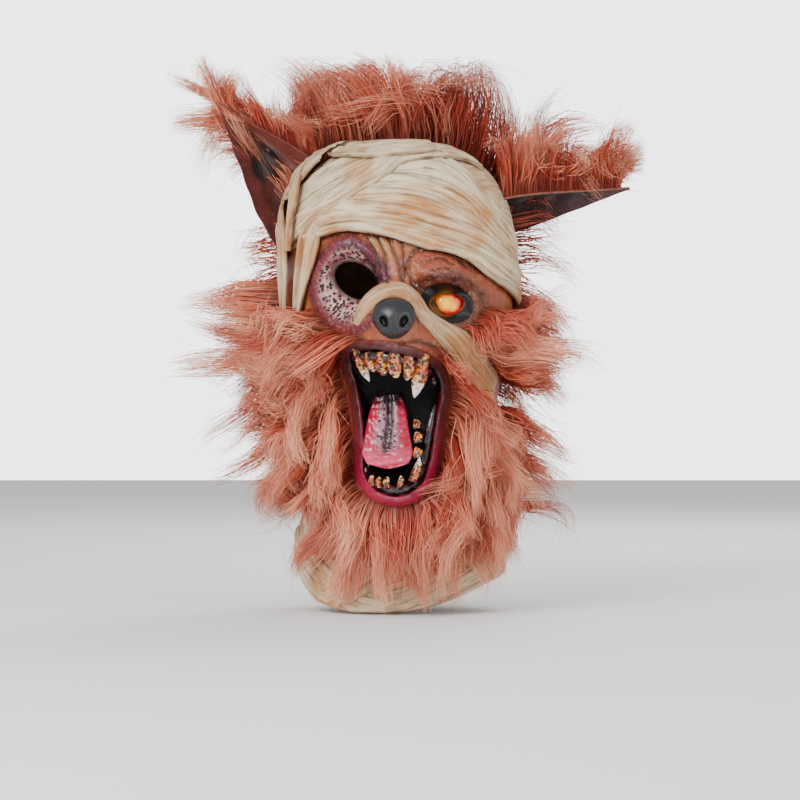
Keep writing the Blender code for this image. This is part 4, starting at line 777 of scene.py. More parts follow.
thick = 0.0062 * np.sqrt(np.clip(1 - along ** 10, 0.02, 1)) * (1 + 0.4 * (1 - along))
groove = 0.0046 * bell(ca - 0.10 * np.sin(along * 5), 0, 0.20) * above * smooth(1 - along, 0.10,
    0.35)
lumps = 0.0006 * waves(along * 0.08, ca * 0.02, 0.009, 31) * above
tongue = np.stack([tongue_x + half * ca,
                   tongue_y - thick * sa + groove - lumps - 0.0022 * np.abs(ca) ** 3 * above,
                   tongue_z - 0.25 * thick * sa], -1)
centre = (1 - smooth(np.abs(ca), 0.36, 0.62)) * above * (1 - smooth(along, 0.62, 0.82))
# The groove painted dark by its depth and the root painted near black toward the throat: painted
# shade
tongue_paint = painted(along.shape, "#B00C38",
                       ("#DC4A6C", smooth(along, 0.66, 0.90) * 0.8 * above),
                           ("#A07C86", centre * 0.85),
                       ("#26090F", smooth(groove, 0.0008, 0.0030) * 0.95),
                       ("#1A0A0E", 1 - smooth(along, 0.03, 0.30)))
# Clear-coated latex, a broad wet shine with dark dots in the groove
tongue_latex, tree, shader = new_material("tongue_latex", 0.22,
    {"Coat Weight": 0.5, "Coat Roughness": 0.08})
here = node(tree, "TexCoord", "Object")
cells = node(tree, "TexVoronoi", "Distance", here, ("Scale", 1 / 0.0038))
spotted = node(tree, "Math", 0, node(tree, "MapRange", "Result", cells, 0.42, 0.28),
    node(tree, "Attribute", "Fac", attribute_name="dots"), operation="MULTIPLY")
sprayed = node(tree, "Attribute", "Color", attribute_name="paint")
tree.links.new(node(tree, "Mix", 2, spotted, (6, sprayed), (7, "#1C0B10"), data_type="RGBA"),
    shader.inputs["Base Color"])
grain = node(tree, "TexNoise", "Fac", here, ("Scale", 1 / 0.0022), ("Detail", 5.0))
tree.links.new(node(tree, "Bump", "Normal", ("Height",
    node(tree, "Math", 0, grain, spotted, operation="SUBTRACT")), ("Distance", 0.0007)),
    shader.inputs["Normal"])
tongue_piece = piece("tongue_surface", tongue, grid_faces(TONGUE_ROWS, TONGUE_POINTS, True)[:,
    ::-1],
                     tongue_latex, tongue_paint, {"dots": centre})
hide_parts("tongue")

# The ears: thin latex cups bonded to the sides of the head, maroon outside and black in
# the folds of the hollow, airbrushed and also painted shade. The left one has fallen over.
EAR_LENGTH, EAR_WIDTH, EAR_DEPTH, EAR_WALL = 0.118, 0.080, 0.030, 0.0020
# along, lower half width, upper half width, hollow
EAR_ROWS = np.array([
    (-0.42, 0.57, 0.50, 1.00), (-0.18, 0.53, 0.52, 1.00), (0.04, 0.47, 0.51, 1.00),
    (0.28, 0.37, 0.42, 0.92), (0.50, 0.25, 0.29, 0.72), (0.68, 0.16, 0.18, 0.48),
    (0.86, 0.07, 0.08, 0.22), (1.00, 0.015, 0.015, 0.04)])
# name, root across, root depth, root drop, way to the tip, way the hollow opens, hollow
EARS = [
    ("right_ear", -0.478, 0.020, 0.104, (-0.62, -0.02, 0.78), (-0.10, -0.97, -0.10), 1.0),
    ("left_ear", 0.495, 0.030, 0.148, (0.975, -0.05, 0.223), (0.10, -0.36, -0.92), 0.60)]


def ear_frame(ear):
    """Root point and the directions along, aside and into the hollow's opening."""
    along = np.array(ear[4]) / np.linalg.norm(ear[4])
    opens = np.array(ear[5]) - along * np.dot(ear[5], along)
    opens /= np.linalg.norm(opens)
    aside = np.cross(along, opens)
    aside = -aside if aside[2] > 0 else aside
    root = np.array([ear[1] * HEAD_WIDTH, ear[2] * HEAD_DEPTH, WALL - ear[3] * SHELL_HEIGHT])
    return root, along, aside, opens


def ear_point(ear, along_share, aside_share, out=0.0):
    """Point of the cup: along to the tip, aside from -1 at the upper edge to 1 at the lower."""
    root, along, aside, opens = ear_frame(ear)
    row = catmull_rom(EAR_ROWS, np.interp(along_share, EAR_ROWS[:, 0], np.arange(len(EAR_ROWS))))
    half = np.where(aside_share > 0, row[..., 1], row[..., 2]) * EAR_WIDTH
    hollow = row[..., 3] * EAR_DEPTH * ear[6] * (1 - aside_share ** 2) + out
    return (root + along * (row[..., 0] * EAR_LENGTH)[..., None]
            + aside * (half * aside_share)[..., None] - opens * hollow[..., None])


EAR_RINGS, EAR_POINTS = 90, 60
# colour of the hollow, strength of its warm tip, colour of the outer side
EAR_COLOURS = {"right_ear": ("#7A3A33", 0.6, "#8A4A3A"), "left_ear": ("#3A2029", 0.25, "#3E2229")}
# Matt latex, mottled dark by the airbrush
ear_latex, tree, shader = new_material("ear_latex", 0.50,
    {"Coat Weight": 0.15, "Coat Roughness": 0.3})
here = node(tree, "TexCoord", "Object")
grain = node(tree, "TexNoise", "Fac", here, ("Scale", 1 / 0.006), ("Detail", 5.0))
sprayed = node(tree, "Attribute", "Color", attribute_name="paint")
tree.links.new(node(tree, "Mix", 2, node(tree, "MapRange", "Result", grain, 0.45, 0.72, 0.0, 0.5),
    (6, sprayed), (7, "#1E0C0C"), data_type="RGBA"), shader.inputs["Base Color"])
grain = node(tree, "TexNoise", "Fac", here, ("Scale", 1 / 0.0028), ("Detail", 5.0))
tree.links.new(node(tree, "Bump", "Normal", ("Height", grain), ("Distance", 0.0009)),
    shader.inputs["Normal"])
for ear in EARS:
    along, aside = np.meshgrid(np.linspace(-0.30, 1, EAR_RINGS), np.linspace(-1, 1, EAR_POINTS),
                               indexing="ij")
    ripple = 0.0009 * np.sin(along * 26 + 3 * aside) * (1 - aside ** 2)
    folds = 0.0035 * bell(aside + 0.30 + 0.25 * along, 0, 0.10) * smooth(0.75 - along, 0, 0.3)
    folds = folds + 0.0028 * bell(aside - 0.15 + 0.2 * along, 0, 0.09) * smooth(0.6 - along, 0, 0.3)
    front = ear_point(ear, along, aside, -ripple - folds)
    back = ear_point(ear, along, aside, EAR_WALL + 0.2 * ripple)
    nick = 0.0009 * np.sin(along[:, -1] * 19) * np.sin(along[:, -1] * 7 + 1)
    front[:, -3:] += ear_frame(ear)[2] * nick[:, None, None]
    back[:, -3:] += ear_frame(ear)[2] * nick[:, None, None]
    rings = np.concatenate([front, back[:, ::-1]], 1)
    hollow_code, warmth, outer_code = EAR_COLOURS[ear[0]]
    # Black deep in the hollow, away from the tip: airbrush paint and painted shade
    dark = np.exp(-((aside - 0.10) / 0.62) ** 4) * smooth(0.97 - along, 0.0, 0.30)
    dark = dark * (0.75 + 0.25 * waves(along * 0.1, aside * 0.03, 0.02, 61))
    inner = painted(along.shape, hollow_code, ("#9A5A44", smooth(along, 0.45, 0.9) * warmth),
                    ("#0C080B", np.clip(dark * 1.25, 0, 1)), ("#4C1F2C",
                        smooth(aside, 0.55, 1.0) * 0.6))
    outer = painted(along.shape, outer_code, ("#A5603E", smooth(-aside, 0.5, 1.0) * 0.8))
    paint = np.concatenate([inner, outer[:, ::-1]], 1)
    made = piece(ear[0] + "_cup", rings, grid_faces(EAR_RINGS, 2 * EAR_POINTS, True), ear_latex,
        paint)
    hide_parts(ear[0])

# The wraps: cotton gauze bandage dipped in latex, wound in overlapping strips and stained
# ochre. Each strip lies on the skin, and its folds and tucked edges are in its form.
# Latex-dipped gauze: matt, streaked along the strip, ochre where the stain pooled and
# brown along edges and creases, which is brown paint and also painted shade where strips
# overlap and fold. The weave is drawn coarser than the real threads.
cloth, tree, shader = new_material("bandage_cloth", 0.62,
    {"Sheen Weight": 0.15, "Specular IOR Level": 0.35})
here = node(tree, "TexCoord", "Object")
lengthwise = node(tree, "CombineXYZ", 0, ("X", node(tree, "Math", 0,
    node(tree, "Attribute", "Fac", attribute_name="run"), 0.1, operation="MULTIPLY")),
    ("Y", node(tree, "Attribute", "Fac", attribute_name="side")),
    ("Z", node(tree, "Attribute", "Fac", attribute_name="number")))
streak = node(tree, "TexNoise", "Fac", lengthwise, ("Scale", 1 / 0.003), ("Detail", 5.0))
broad = node(tree, "TexNoise", "Fac", here, ("Scale", 1 / 0.045), ("Detail", 3.0))
stained = node(tree, "Math", 0, node(tree, "MapRange", "Result", broad, 0.44, 0.62),
    node(tree, "MapRange", "Result", streak, 0.32, 0.6, 0.4, 1.0), operation="MULTIPLY")
body = node(tree, "Mix", 2, node(tree, "MapRange", "Result", streak, 0.44, 0.7, 0.0, 0.9),
    (6, "#EAD7B2"), (7, "#9C8158"), data_type="RGBA")
body = node(tree, "Mix", 2, node(tree, "Math", 0, stained, 0.85, operation="MULTIPLY"), (6, body),
    (7, "#BE7226"), data_type="RGBA")
grain = node(tree, "TexNoise", "Fac", here, ("Scale", 1 / 0.018), ("Detail", 3.0))
# Strip edges and fold creases painted brown: partly paint, partly painted shade
edges = node(tree, "Math", 0, node(tree, "Attribute", "Fac", attribute_name="edge"),
    node(tree, "MapRange", "Result", grain, 0.3, 0.65, 0.35, 1.0), operation="MULTIPLY")
body = node(tree, "Mix", 2, edges, (6, body), (7, "#6E4A2A"), data_type="RGBA")
crease = node(tree, "Math", 0, node(tree, "Attribute", "Fac", attribute_name="crease"),
    node(tree, "MapRange", "Result", broad, 0.35, 0.6, 0.45, 1.0), operation="MULTIPLY")
body = node(tree, "Mix", 2, crease, (6, body), (7, "#80501F"), data_type="RGBA")
# shade tints a strip tan; on the base cloth, seen only between the strips, it is also painted shade
# in the gaps
tree.links.new(node(tree, "Mix", 2, node(tree, "Attribute", "Fac", attribute_name="shade"),
    (6, body), (7, "#A8672F"), data_type="RGBA"), shader.inputs["Base Color"])
weave = node(tree, "TexWave", "Fac", ("Vector",
    node(tree, "CombineXYZ", 0, ("X", node(tree, "Attribute", "Fac", attribute_name="run")),
    ("Y", 0.0))), ("Scale", 1 / 0.006), ("Distortion", 1.5), bands_direction="X")
relief = node(tree, "Math", 0, node(tree, "Math", 0, streak, 1.4, operation="MULTIPLY"),
    node(tree, "Math", 0, weave, 0.1, operation="MULTIPLY"), operation="ADD")
grain = node(tree, "TexNoise", "Fac", here, ("Scale", 1 / 0.0016), ("Detail", 4.0))
tree.links.new(node(tree, "Bump", "Normal", ("Height",
    node(tree, "Math", 0, relief, node(tree, "Math", 0, grain, 0.35, operation="MULTIPLY"),
    operation="ADD")), ("Distance", 0.002)), shader.inputs["Normal"])


def grid_area(points):
    """Area of a grid of points, face by face."""
    down, right = points[1:, :-1] - points[:-1, :-1], points[:-1, 1:] - points[:-1, :-1]
    return float(np.linalg.norm(np.cross(down, right), axis=-1).sum())


def wrap_strip(path, lift, number, width, seed, shade=0.0, step=0.0022):
    """One strip of bandage on the head: points, faces and stored values.

    path has rows of turn, drop and a share of the width. The strip swells a little
    between its edges, its lengthwise folds run and fade, and its edges tuck down.
    """
    rng = np.random.default_rng(seed)
    path = np.asarray(path, float)
    scale = np.array([math.pi * HEAD_WIDTH / 360, SHELL_HEIGHT])
    reach = np.linalg.norm(np.diff(path[:, :2] * scale, axis=0), axis=1).sum()
    count = max(int(reach / step), 12)
    line = catmull_rom(path, np.linspace(0, len(path) - 1, count))
    along = np.gradient(line[:, :2] * scale, axis=0)
    along /= np.linalg.norm(along, axis=-1, keepdims=True)
    aside = np.stack([-along[:, 1], along[:, 0]], -1)
    run = np.linspace(0, reach, count)
    m = np.concatenate([[-1.0], np.linspace(-1, 1, 25), [1.0]])   # share across, edges doubled
    wobble = 0.0011 * np.sin(run / 0.024 + rng.uniform(0, 6))
    wobble = wobble + 0.0006 * np.sin(run / 0.009 + rng.uniform(0, 6))
    offset = line[:, 2, None] * width / 2 * m[None, :] + wobble[:, None] * np.abs(m)[None, :]
    flat = line[:, None, :2] + aside[:, None] * offset[..., None] / scale
    high = 0.0009 * (1 - np.abs(m) ** 8)[None, :] * np.ones((count, 1))
    billow = 0.0008 * np.sin(run / 0.031 + rng.uniform(0, 6))[:, None]
    high = high + billow * np.sin(1.6 * m + rng.uniform(0, 6))[None, :]
    crease = np.zeros((count, len(m)))
    for fold in range(4):
        place = rng.uniform(-0.8, 0.8)
        sway = rng.uniform(-0.35, 0.35)
        place = place + sway * np.sin(run / rng.uniform(0.03, 0.08) + rng.uniform(0, 6))
        strong = 0.5 + 0.5 * np.sin(run / rng.uniform(0.018, 0.05) + rng.uniform(0, 6))
        gap = m[None, :] - place[:, None]
        near = bell(gap, 0, 0.080) * strong[:, None]
        high = high - 0.0016 * near + 0.0012 * bell(gap, 0.18, 0.11) * strong[:, None]
        crease = np.maximum(crease, near)
    height = lift + high
    height[:, [0, -1]] = lift - 0.0016
    ends = np.minimum(run, reach - run)[:, None]
    height = height - 0.0008 * bell(ends, 0, 0.002)
    points = skin(flat[..., 0], np.clip(flat[..., 1], 0.0010, 1.0), height)
    shape = points.shape[:2]
    values = {"run": np.broadcast_to(run[:, None], shape), "side": offset, "crease": crease,
              "number": np.full(shape, number * 0.37), "edge": np.broadcast_to(np.abs(m) ** 12,
                  shape),
              "shade": np.full(shape, shade)}
    return points, grid_faces(*shape), values, grid_area(points)


def wound(name, base, strips, made_of):
    """A base wrap and its strips in one mesh, and the area of cloth in the strips."""
    points, faces, values, area, start = [], [], [], 0.0, 0
    for part in [base] + strips:
        points.append(part[0].reshape(-1, 3))
        faces.append(part[1] + start)
        values.append({key: np.asarray(value).ravel() for key, value in part[2].items()})
        area += part[3]
        start += len(points[-1])
    joined = {key: np.concatenate([value[key] for value in values]) for key in values[0]}
    return piece(name, np.concatenate(points), np.concatenate(faces), made_of, None, joined), area


def base_wrap(turns, drops, lift, shade):
    """A plain stretch of cloth under the strips, between rows of turns and drops."""
    points = skin(turns, drops, np.full(turns.shape, lift))
    blank = np.zeros(turns.shape)
    values = {"run": turns * 0.002, "side": drops * 0.4, "crease": blank, "number": blank,
        "edge": blank,
              "shade": blank + shade}
    return points, grid_faces(*turns.shape), values, grid_area(points)


# The head wraps: strips round brow and crown, with four loose straps at the right ear.
# Cotton gauze, stuck down with latex, each layer over the one before.
# lift off the skin, and rows of turn, drop and share of the width
HEAD_STRIPS = [
    (0.0022, [(-27, 0.076, 0.8), (-9, 0.043, 1.0), (20, 0.038, 1.0), (37, 0.076, 1.0),
        (47, 0.140, 1.0), (75, 0.200, 1), (98, 0.240, 1)]),
    (0.0028, [(-29, 0.102, 0.7), (-5, 0.076, 1.0), (19, 0.081, 1.0), (40, 0.127, 1.0),
        (55, 0.195, 1.0), (82, 0.245, 1), (98, 0.262, 1)]),
    (0.0034, [(-34, 0.127, 0.6), (-9, 0.106, 1.0), (14, 0.114, 1.0), (38, 0.161, 1.0),
        (59, 0.224, 1.0), (80, 0.270, 1), (98, 0.278, 1)]),
    (0.0040, [(-44, 0.157, 0.6), (-18, 0.136, 1.0), (6, 0.142, 1.0), (30, 0.182, 1.0),
        (53, 0.237, 1.0), (88, 0.271, 1.0), (94, 0.285, 1)]),
    (0.0030, [(-96, 0.150, 0.8), (-70, 0.120, 1), (-52, 0.085, 1.0), (-35, 0.047, 1.0),
        (-11, 0.021, 0.8)]),
    (0.0040, [(-92, 0.230, 0.7), (-69, 0.161, 1.0), (-47, 0.114, 1.1), (-28, 0.076, 1.0),
        (-8, 0.043, 0.9)]),
    (0.0052, [(-95, 0.260, 0.7), (-69, 0.195, 0.9), (-43, 0.140, 0.9), (-25, 0.102, 0.8),
        (-9, 0.055, 0.8), (3, 0.021, 0.9), (40, 0.013, 0.9), (63, 0.034, 0.8)]),
    (0.0078, [(-66, 0.013, 0.7), (-30, 0.012, 0.9), (0, 0.012, 0.9), (30, 0.012, 0.7)]),
    (0.0058, [(-54, 0.203, 0.5), (-40, 0.178, 0.9), (-22, 0.167, 1.05), (-3, 0.174, 1.1),
        (15, 0.197, 1.15), (36, 0.229, 1.2), (59, 0.271, 1.25), (86, 0.300, 1.2), (97, 0.305, 1)]),
]
STRAPS = [
    (0.0052, [(-95, 0.060, 0.9), (-93, 0.120, 0.9), (-91, 0.180, 0.8), (-88, 0.235, 0.5),
        (-86, 0.262, 0.2)]),
    (0.0105, [(-66, 0.030, 1.5), (-74, 0.080, 1.6), (-90, 0.081, 1.5), (-90, 0.144, 1.35),
        (-72, 0.203, 1.15), (-68, 0.280, 1.0), (-70, 0.364, 0.40)]),
    (0.0066, [(-42, 0.178, 0.7), (-46, 0.208, 1.25), (-49, 0.254, 1.15), (-53, 0.309, 0.85),
        (-58, 0.370, 0.45)]),
    (0.0125, [(-78, 0.050, 0.6), (-90, 0.043, 0.7), (-65, 0.106, 0.7), (-59, 0.174, 0.5),
        (-59, 0.233, 0.3)]),
]
turn_row = np.linspace(-100, 100, 150)
low = np.interp(turn_row, [-100, -62, -53, -39, -23, 0, 23, 41, 68, 100],
                [.240, .226, .222, .202, .197, .209, .236, .273, .300, .290])
share = np.linspace(0, 1, 40)[:, None]
# The base cloth is tinted darker than the strips over it: stain, and painted shade in the gaps
base = base_wrap(np.broadcast_to(turn_row, (40, 150)),
    0.0008 + (low[None, :] - 0.0028) * share ** 1.5, 0.0013, 0.25)
strips = [wrap_strip(path, lift, k, 0.030, 40 + k) for k, (lift, path) in enumerate(HEAD_STRIPS)]
strips += [wrap_strip(path, lift, 20 + k, 0.024, 70 + k, 0.22)
           for k, (lift, path) in enumerate(STRAPS)]
head_wraps, area = wound("head_wraps", base, strips, cloth)
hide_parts("head_bandage")

# The nose wrap: one gauze strip over the bridge, under the lens and down the left cheek,
# with two narrow strips on it. Glued flat, darker with stain than the head's.
NOSE_STRIP = [
    (0.0016, [(-20, 0.394, 0.20), (-16, 0.362, 0.48), (-10, 0.337, 0.55), (-2, 0.322, 0.52),
        (5, 0.337, 0.42), (10, 0.373, 0.42), (19, 0.402, 0.62), (30, 0.434, 0.95),
        (44, 0.478, 1.15), (67, 0.538, 1.1)]),
    (0.0022, [(-18, 0.381, 0.22), (-13, 0.349, 0.32), (-6, 0.330, 0.34), (1, 0.326, 0.28),
        (6, 0.347, 0.2)]),
    (0.0020, [(8, 0.364, 0.20), (17, 0.411, 0.35), (29, 0.453, 0.45), (42, 0.508, 0.40)])]
base = wrap_strip(NOSE_STRIP[0][1], NOSE_STRIP[0][0], 30, 0.030, 90, 0.50)
strips = [wrap_strip(path, lift, 31 + k, 0.026, 91 + k, 0.38)
          for k, (lift, path) in enumerate(NOSE_STRIP[1:])]
nose_wrap, area = wound("nose_wrap", base, strips, cloth)
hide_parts("nose_bandage")

# The neck wraps: wide gauze strips that cross round the neck and over the bib, glued to
# the latex down to its hem, over a plain stretch of cloth that closes the gaps.
NECK_STRIPS = [
    (0.0020, [(-175, 0.80, 1), (-120, 0.79, 1), (-80, 0.80, 1), (-40, 0.84, 1), (0, 0.87, 1),
        (40, 0.84, 1), (80, 0.80, 1), (120, 0.79, 1), (175, 0.80, 1)]),
    (0.0024, [(-176, 0.86, 1), (-120, 0.87, 1), (-85, 0.875, 1), (-50, 0.93, 1), (-15, 0.965, 1),
        (20, 0.95, 1), (55, 0.92, 1), (90, 0.89, 1), (176, 0.87, 1)]),
    (0.0028, [(-178, 0.95, 1), (-120, 0.95, 1), (-60, 0.965, 1), (0, 0.985, 1), (60, 0.965, 1),
        (120, 0.95, 1), (178, 0.95, 1)]),
    (0.0034, [(-100, 0.775, 0.9), (-78, 0.80, 1), (-58, 0.86, 1), (-38, 0.92, 1), (-12, 0.955, 0.9),
        (12, 0.965, 0.6)]),
    (0.0038, [(-92, 0.86, 0.8), (-66, 0.90, 1), (-46, 0.95, 1), (-28, 0.985, 0.9)]),
    (0.0042, [(-44, 0.985, 0.7), (-30, 0.95, 0.9), (-14, 0.90, 1), (4, 0.855, 0.9)]),
    (0.0040, [(95, 0.90, 0.9), (66, 0.895, 1), (40, 0.915, 1), (14, 0.94, 1), (-8, 0.965, 0.8)]),
    (0.0046, [(98, 0.85, 0.9), (72, 0.86, 1), (48, 0.875, 1), (24, 0.895, 1), (2, 0.905, 0.7)]),
    (0.0044, [(150, 0.84, 1), (110, 0.86, 1), (78, 0.92, 1), (56, 0.97, 0.8)]),
    (0.0034, [(178, 0.86, 1), (150, 0.90, 1), (120, 0.95, 0.9)]),
    (0.0040, [(-178, 0.80, 1), (-140, 0.87, 1), (-112, 0.94, 0.9)]),
]
turn_row = np.linspace(-180, 180, 181)
high = np.interp(turn_row, [-180, -100, -60, -35, 0, 35, 60, 100, 180],
                 [.735, .745, .75, .80, .83, .80, .75, .745, .735])
share = np.linspace(0, 1, 24)[:, None]
# The base cloth is tinted darker than the strips over it: stain, and painted shade in the gaps
base = base_wrap(np.broadcast_to(turn_row, (24, 181)),
    high[None, :] + (1.0 - high[None, :]) * share, 0.0013, 0.15)
strips = [wrap_strip(path, lift, 50 + k, 0.042, 140 + k, 0.05, 0.0036)
          for k, (lift, path) in enumerate(NECK_STRIPS)]
neck_wraps, area = wound("neck_wraps", base, strips, cloth)
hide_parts("neck_bandage")

# The fur: long ginger synthetic hair, glued on in tufts. Every hair is a thin ribbon that
# leaves the latex along its normal and bends over to the reach of its tuft.
# Synthetic fibre: a weak sheen, dark at the root and pale at the tip, partly the fibre's
# own colour and partly painted shade deep in the fur and painted highlight at the tips
fur, tree, shader = new_material("fur_fibre", 0.50,
    {"Specular IOR Level": 0.35, "Sheen Weight": 0.1})
sprayed = node(tree, "Attribute", "Color", attribute_name="paint")
tree.links.new(sprayed, shader.inputs["Base Color"])
FUR_LENGTH = 0.090


def hairs(roots, normals, reaches, clump_of, tufts, seed, thickness=0.0010, curl=0.0020,
          wave=0.0120, lift=0.30, arch=0.0, sag=0.17, segments=8):
    """Ribbons of hair from their roots, gathered into the pointed locks of their tufts.

    roots, normals and reaches have a row for each hair, tufts one for each tuft, as
    its root, normal and reach. Every hair follows a cubic curve like its tuft's, ends
    at its own share of it and strays a little. The tuft's slow waves carry all its
    hairs. A hair that would leave the object's box is drawn in towards its root.
    """
    rng = np.random.default_rng(seed)
    count = len(roots)
    s = np.linspace(0, 1, segments + 1)[None, :, None]

    def curve(root, normal, reach):
        """Cubic curve that leaves along the normal and ends at the reach, sagging a little."""
        length = np.linalg.norm(reach, axis=-1, keepdims=True)
        rise = np.array([0, 0, 1.0]) * arch * length
        first = root + normal * lift * length + reach * 0.12 + rise * 0.6
        second = root + normal * lift * 0.5 * length + reach * 0.62 + rise
        end = root + reach - np.array([0, 0, 1.0]) * sag * length
        return ((1 - s) ** 3 * root[:, None] + 3 * s * (1 - s) ** 2 * first[:, None]
                + 3 * s ** 2 * (1 - s) * second[:, None] + s ** 3 * end[:, None])

    def strays(number, size, lengths):
        """Sums of slow sine waves that start at 0 at the root."""
        total = np.zeros((number, segments + 1, 3))
        for turns_along in lengths:
            phase = rng.uniform(0, 2 * np.pi, (number, 1, 3))
            swing = rng.normal(0, 1, (number, 1, 3)) * size / turns_along
            total += swing * (np.sin(2 * np.pi * turns_along * s + phase) - np.sin(phase))
        return total * s ** 0.8

    tuft_root, tuft_normal, tuft_reach = tufts
    guide = curve(tuft_root, tuft_normal, tuft_reach) + strays(len(tuft_root), wave, (0.8, 1.5))
    gather = np.clip(0.95 * s ** 0.7 * rng.uniform(0.70, 1.08, (count, 1, 1)), 0, 0.98)
    own = curve(roots, normals, reaches)
    follow = guide[clump_of] + (roots - tuft_root[clump_of])[:, None] * (1 - 0.80 * s)
    line = own * (1 - gather) + follow * gather
    wild = np.where(rng.uniform(0, 1, (count, 1, 1)) < 0.07, 3.0, 1.0)
    line = line + strays(count, curl, (0.7, 1.6)) * wild
    ends = s * rng.uniform(0.50, 1.0, (count, 1, 1)) ** 0.6 * segments
    step = np.minimum(ends.astype(int), segments - 1)
    before, after = np.take_along_axis(line, step, 1), np.take_along_axis(line, step + 1, 1)
    line = before + (after - before) * (ends - step)
    # Hair may pass the solid model's box by this much, but not below its floor
    room = 0.024 * (np.array(cad_high) - np.array(cad_low)) + 0.006
    room_high = np.array(cad_high) + room - line[:, :1]
    room_low = line[:, :1] - (np.array(cad_low) - room * (1, 1, 0))
    way = line - line[:, :1]
    past = (np.abs(way) / np.where(way > 0, room_high, room_low)).max(axis=(1, 2), keepdims=True)
    line = line[:, :1] + way / np.maximum(past * rng.uniform(1.0, 1.25, (count, 1, 1)), 1)
    along = np.gradient(line, axis=1)
    along /= np.linalg.norm(along, axis=-1, keepdims=True)
    outward = line * (1, 1, 0)
    outward /= np.linalg.norm(outward, axis=-1, keepdims=True) + 1e-6
    face = outward + np.array([0, -0.7, 0.25]) + rng.normal(0, 0.40, (count, 1, 3))
    across = np.cross(along, face)
    across /= np.linalg.norm(across, axis=-1, keepdims=True)
    wide = thickness / 2 * rng.uniform(0.6, 1.3, (count, 1, 1)) * (1.0 - 0.85 * s ** 1.8)
    points = np.stack([line - across * wide, line + across * wide], 2)
    index = np.arange(count * (segments + 1) * 2).reshape(count, segments + 1, 2)
    faces = np.stack([index[:, :-1, 0], index[:, :-1, 1], index[:, 1:, 1], index[:, 1:, 0]], -1)
    tone = rng.uniform(0, 1, (count, 1)) * 0.40
    tone = tone + rng.uniform(0, 1, len(tuft_root))[clump_of][:, None] * 0.60
    shape = (count, segments + 1)
    up = np.broadcast_to(s[..., 0], shape)
    # Dark roots and pale tips: the fibre's colour, and also painted shade deep in the fur and
    # painted highlight at the tips
    paint = painted(shape, "#CC583A", ("#EA946F", smooth(tone, 0.50, 0.80) * 0.85),
                    ("#A02C16", (1 - smooth(tone, 0.20, 0.48)) * 0.85),
                    ("#6A1A0C", (1 - smooth(up, 0.0, 0.50)) * 0.85),
                    ("#F3BB97", smooth(up, 0.45, 1.0) * (0.12 + 0.60 * tone)))
    paint = np.repeat(paint[:, :, None], 2, 2)
    return points.reshape(-1, 3), faces.reshape(-1, 4), paint.reshape(-1, 3)


def grown(places, guides, count, tuft_count, seed, keep=None, spread=0.24, crowd=1.0, **looks):
    """Hairs scattered over a stretch of the skin, with reaches blended from its guides.

    places is the lowest and highest turn and drop, guides have a root turn and drop and
    a reach across, in depth and upward in shares of the fur's length.
    """
    rng = np.random.default_rng(seed)
    guides = np.asarray(guides, float)
    scale = np.array([math.pi * HEAD_WIDTH / 360, SHELL_HEIGHT])

    def scatter(number):
        """Roots in the stretch, where keep allows them."""
        spots = rng.uniform(places[0], places[1], (number * 4, 2))
        top, stretch = places[0][1], places[1][1] - places[0][1]
        spots[:, 1] = top + (spots[:, 1] - top) ** crowd * stretch ** (1 - crowd)
        point = skin_raw(spots[:, 0], spots[:, 1])
        if keep is not None:
            spots = spots[keep(point, spots)]
        return spots[:number]

    def reach_at(spots, spread):
        """Reaches at the roots: a weighted mean of the guides', with a random spread."""
        gap = ((spots[:, None] - guides[None, :, :2]) * scale) ** 2
        weight = 1 / (gap.sum(-1) + 0.012 ** 2) ** 2
        mean = (weight[..., None] * guides[None, :, 2:5]).sum(1) / weight.sum(1)[:, None]
        length = np.linalg.norm(mean, axis=-1, keepdims=True)
        mean = mean + rng.normal(0, spread, mean.shape) * length
        return mean * FUR_LENGTH * rng.uniform(0.80, 1.12, (len(spots), 1))

    spots, tuft_spots = scatter(count), scatter(tuft_count)
    gap = (((spots[:, None] - tuft_spots[None]) * scale) ** 2).sum(-1)
    clump_of = gap.argmin(1)
    tufts = (skin(tuft_spots[:, 0], tuft_spots[:, 1], np.full(len(tuft_spots), 0.001)),
             skin_normal(tuft_spots[:, 0], tuft_spots[:, 1]), reach_at(tuft_spots, spread))
    return hairs(skin(spots[:, 0], spots[:, 1], np.full(len(spots), 0.0006)),
                 skin_normal(spots[:, 0], spots[:, 1]), reach_at(spots, 0.12), clump_of, tufts,
                 seed + 1, **looks)


# The crown: tufts of the same synthetic hair that stand up behind the wraps, glued in
# rows over the top of the head.
# turn, drop, and the reach across, in depth and upward in shares of the fur's length
CROWN = [
    (-130, .060, -0.34, 0.05, 1.02), (-148, .030, -0.36, 0.10, 0.95),
    (-165, .024, -0.34, 0.12, 0.96),
    (180, .022, -0.22, 0.15, 1.00), (165, .022, -0.12, 0.10, 0.84), (150, .030, 0.05, 0.10, 0.83),
    (140, .045, 0.04, 0.06, 1.00), (130, .060, 0.20, 0.05, 1.08), (122, .085, 0.32, 0.05, 1.08),
    (115, .110, 0.46, 0.05, 1.02), (109, .138, 0.60, 0.05, 0.96), (-118, .090, -0.24, 0.06, 0.84),
    (-150, .080, -0.20, 0.45, 0.70), (155, .080, 0.05, 0.50, 0.70),
    (-150, .148, -0.30, 0.62, 0.20), (180, .148, 0.0, 0.66, 0.20), (150, .148, 0.30, 0.62, 0.20)]
CROWN = [(turn % 360, *rest) for turn, *rest in CROWN]
points, faces, paint = grown(((98, 0.0008), (260, 0.150)), CROWN, 6800, 64, 201, spread=0.40,
                             crowd=2.0, arch=0.26, wave=0.016, sag=0.10)
made = piece("crown_hair", points, faces, fur, paint)
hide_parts("crown_fur")

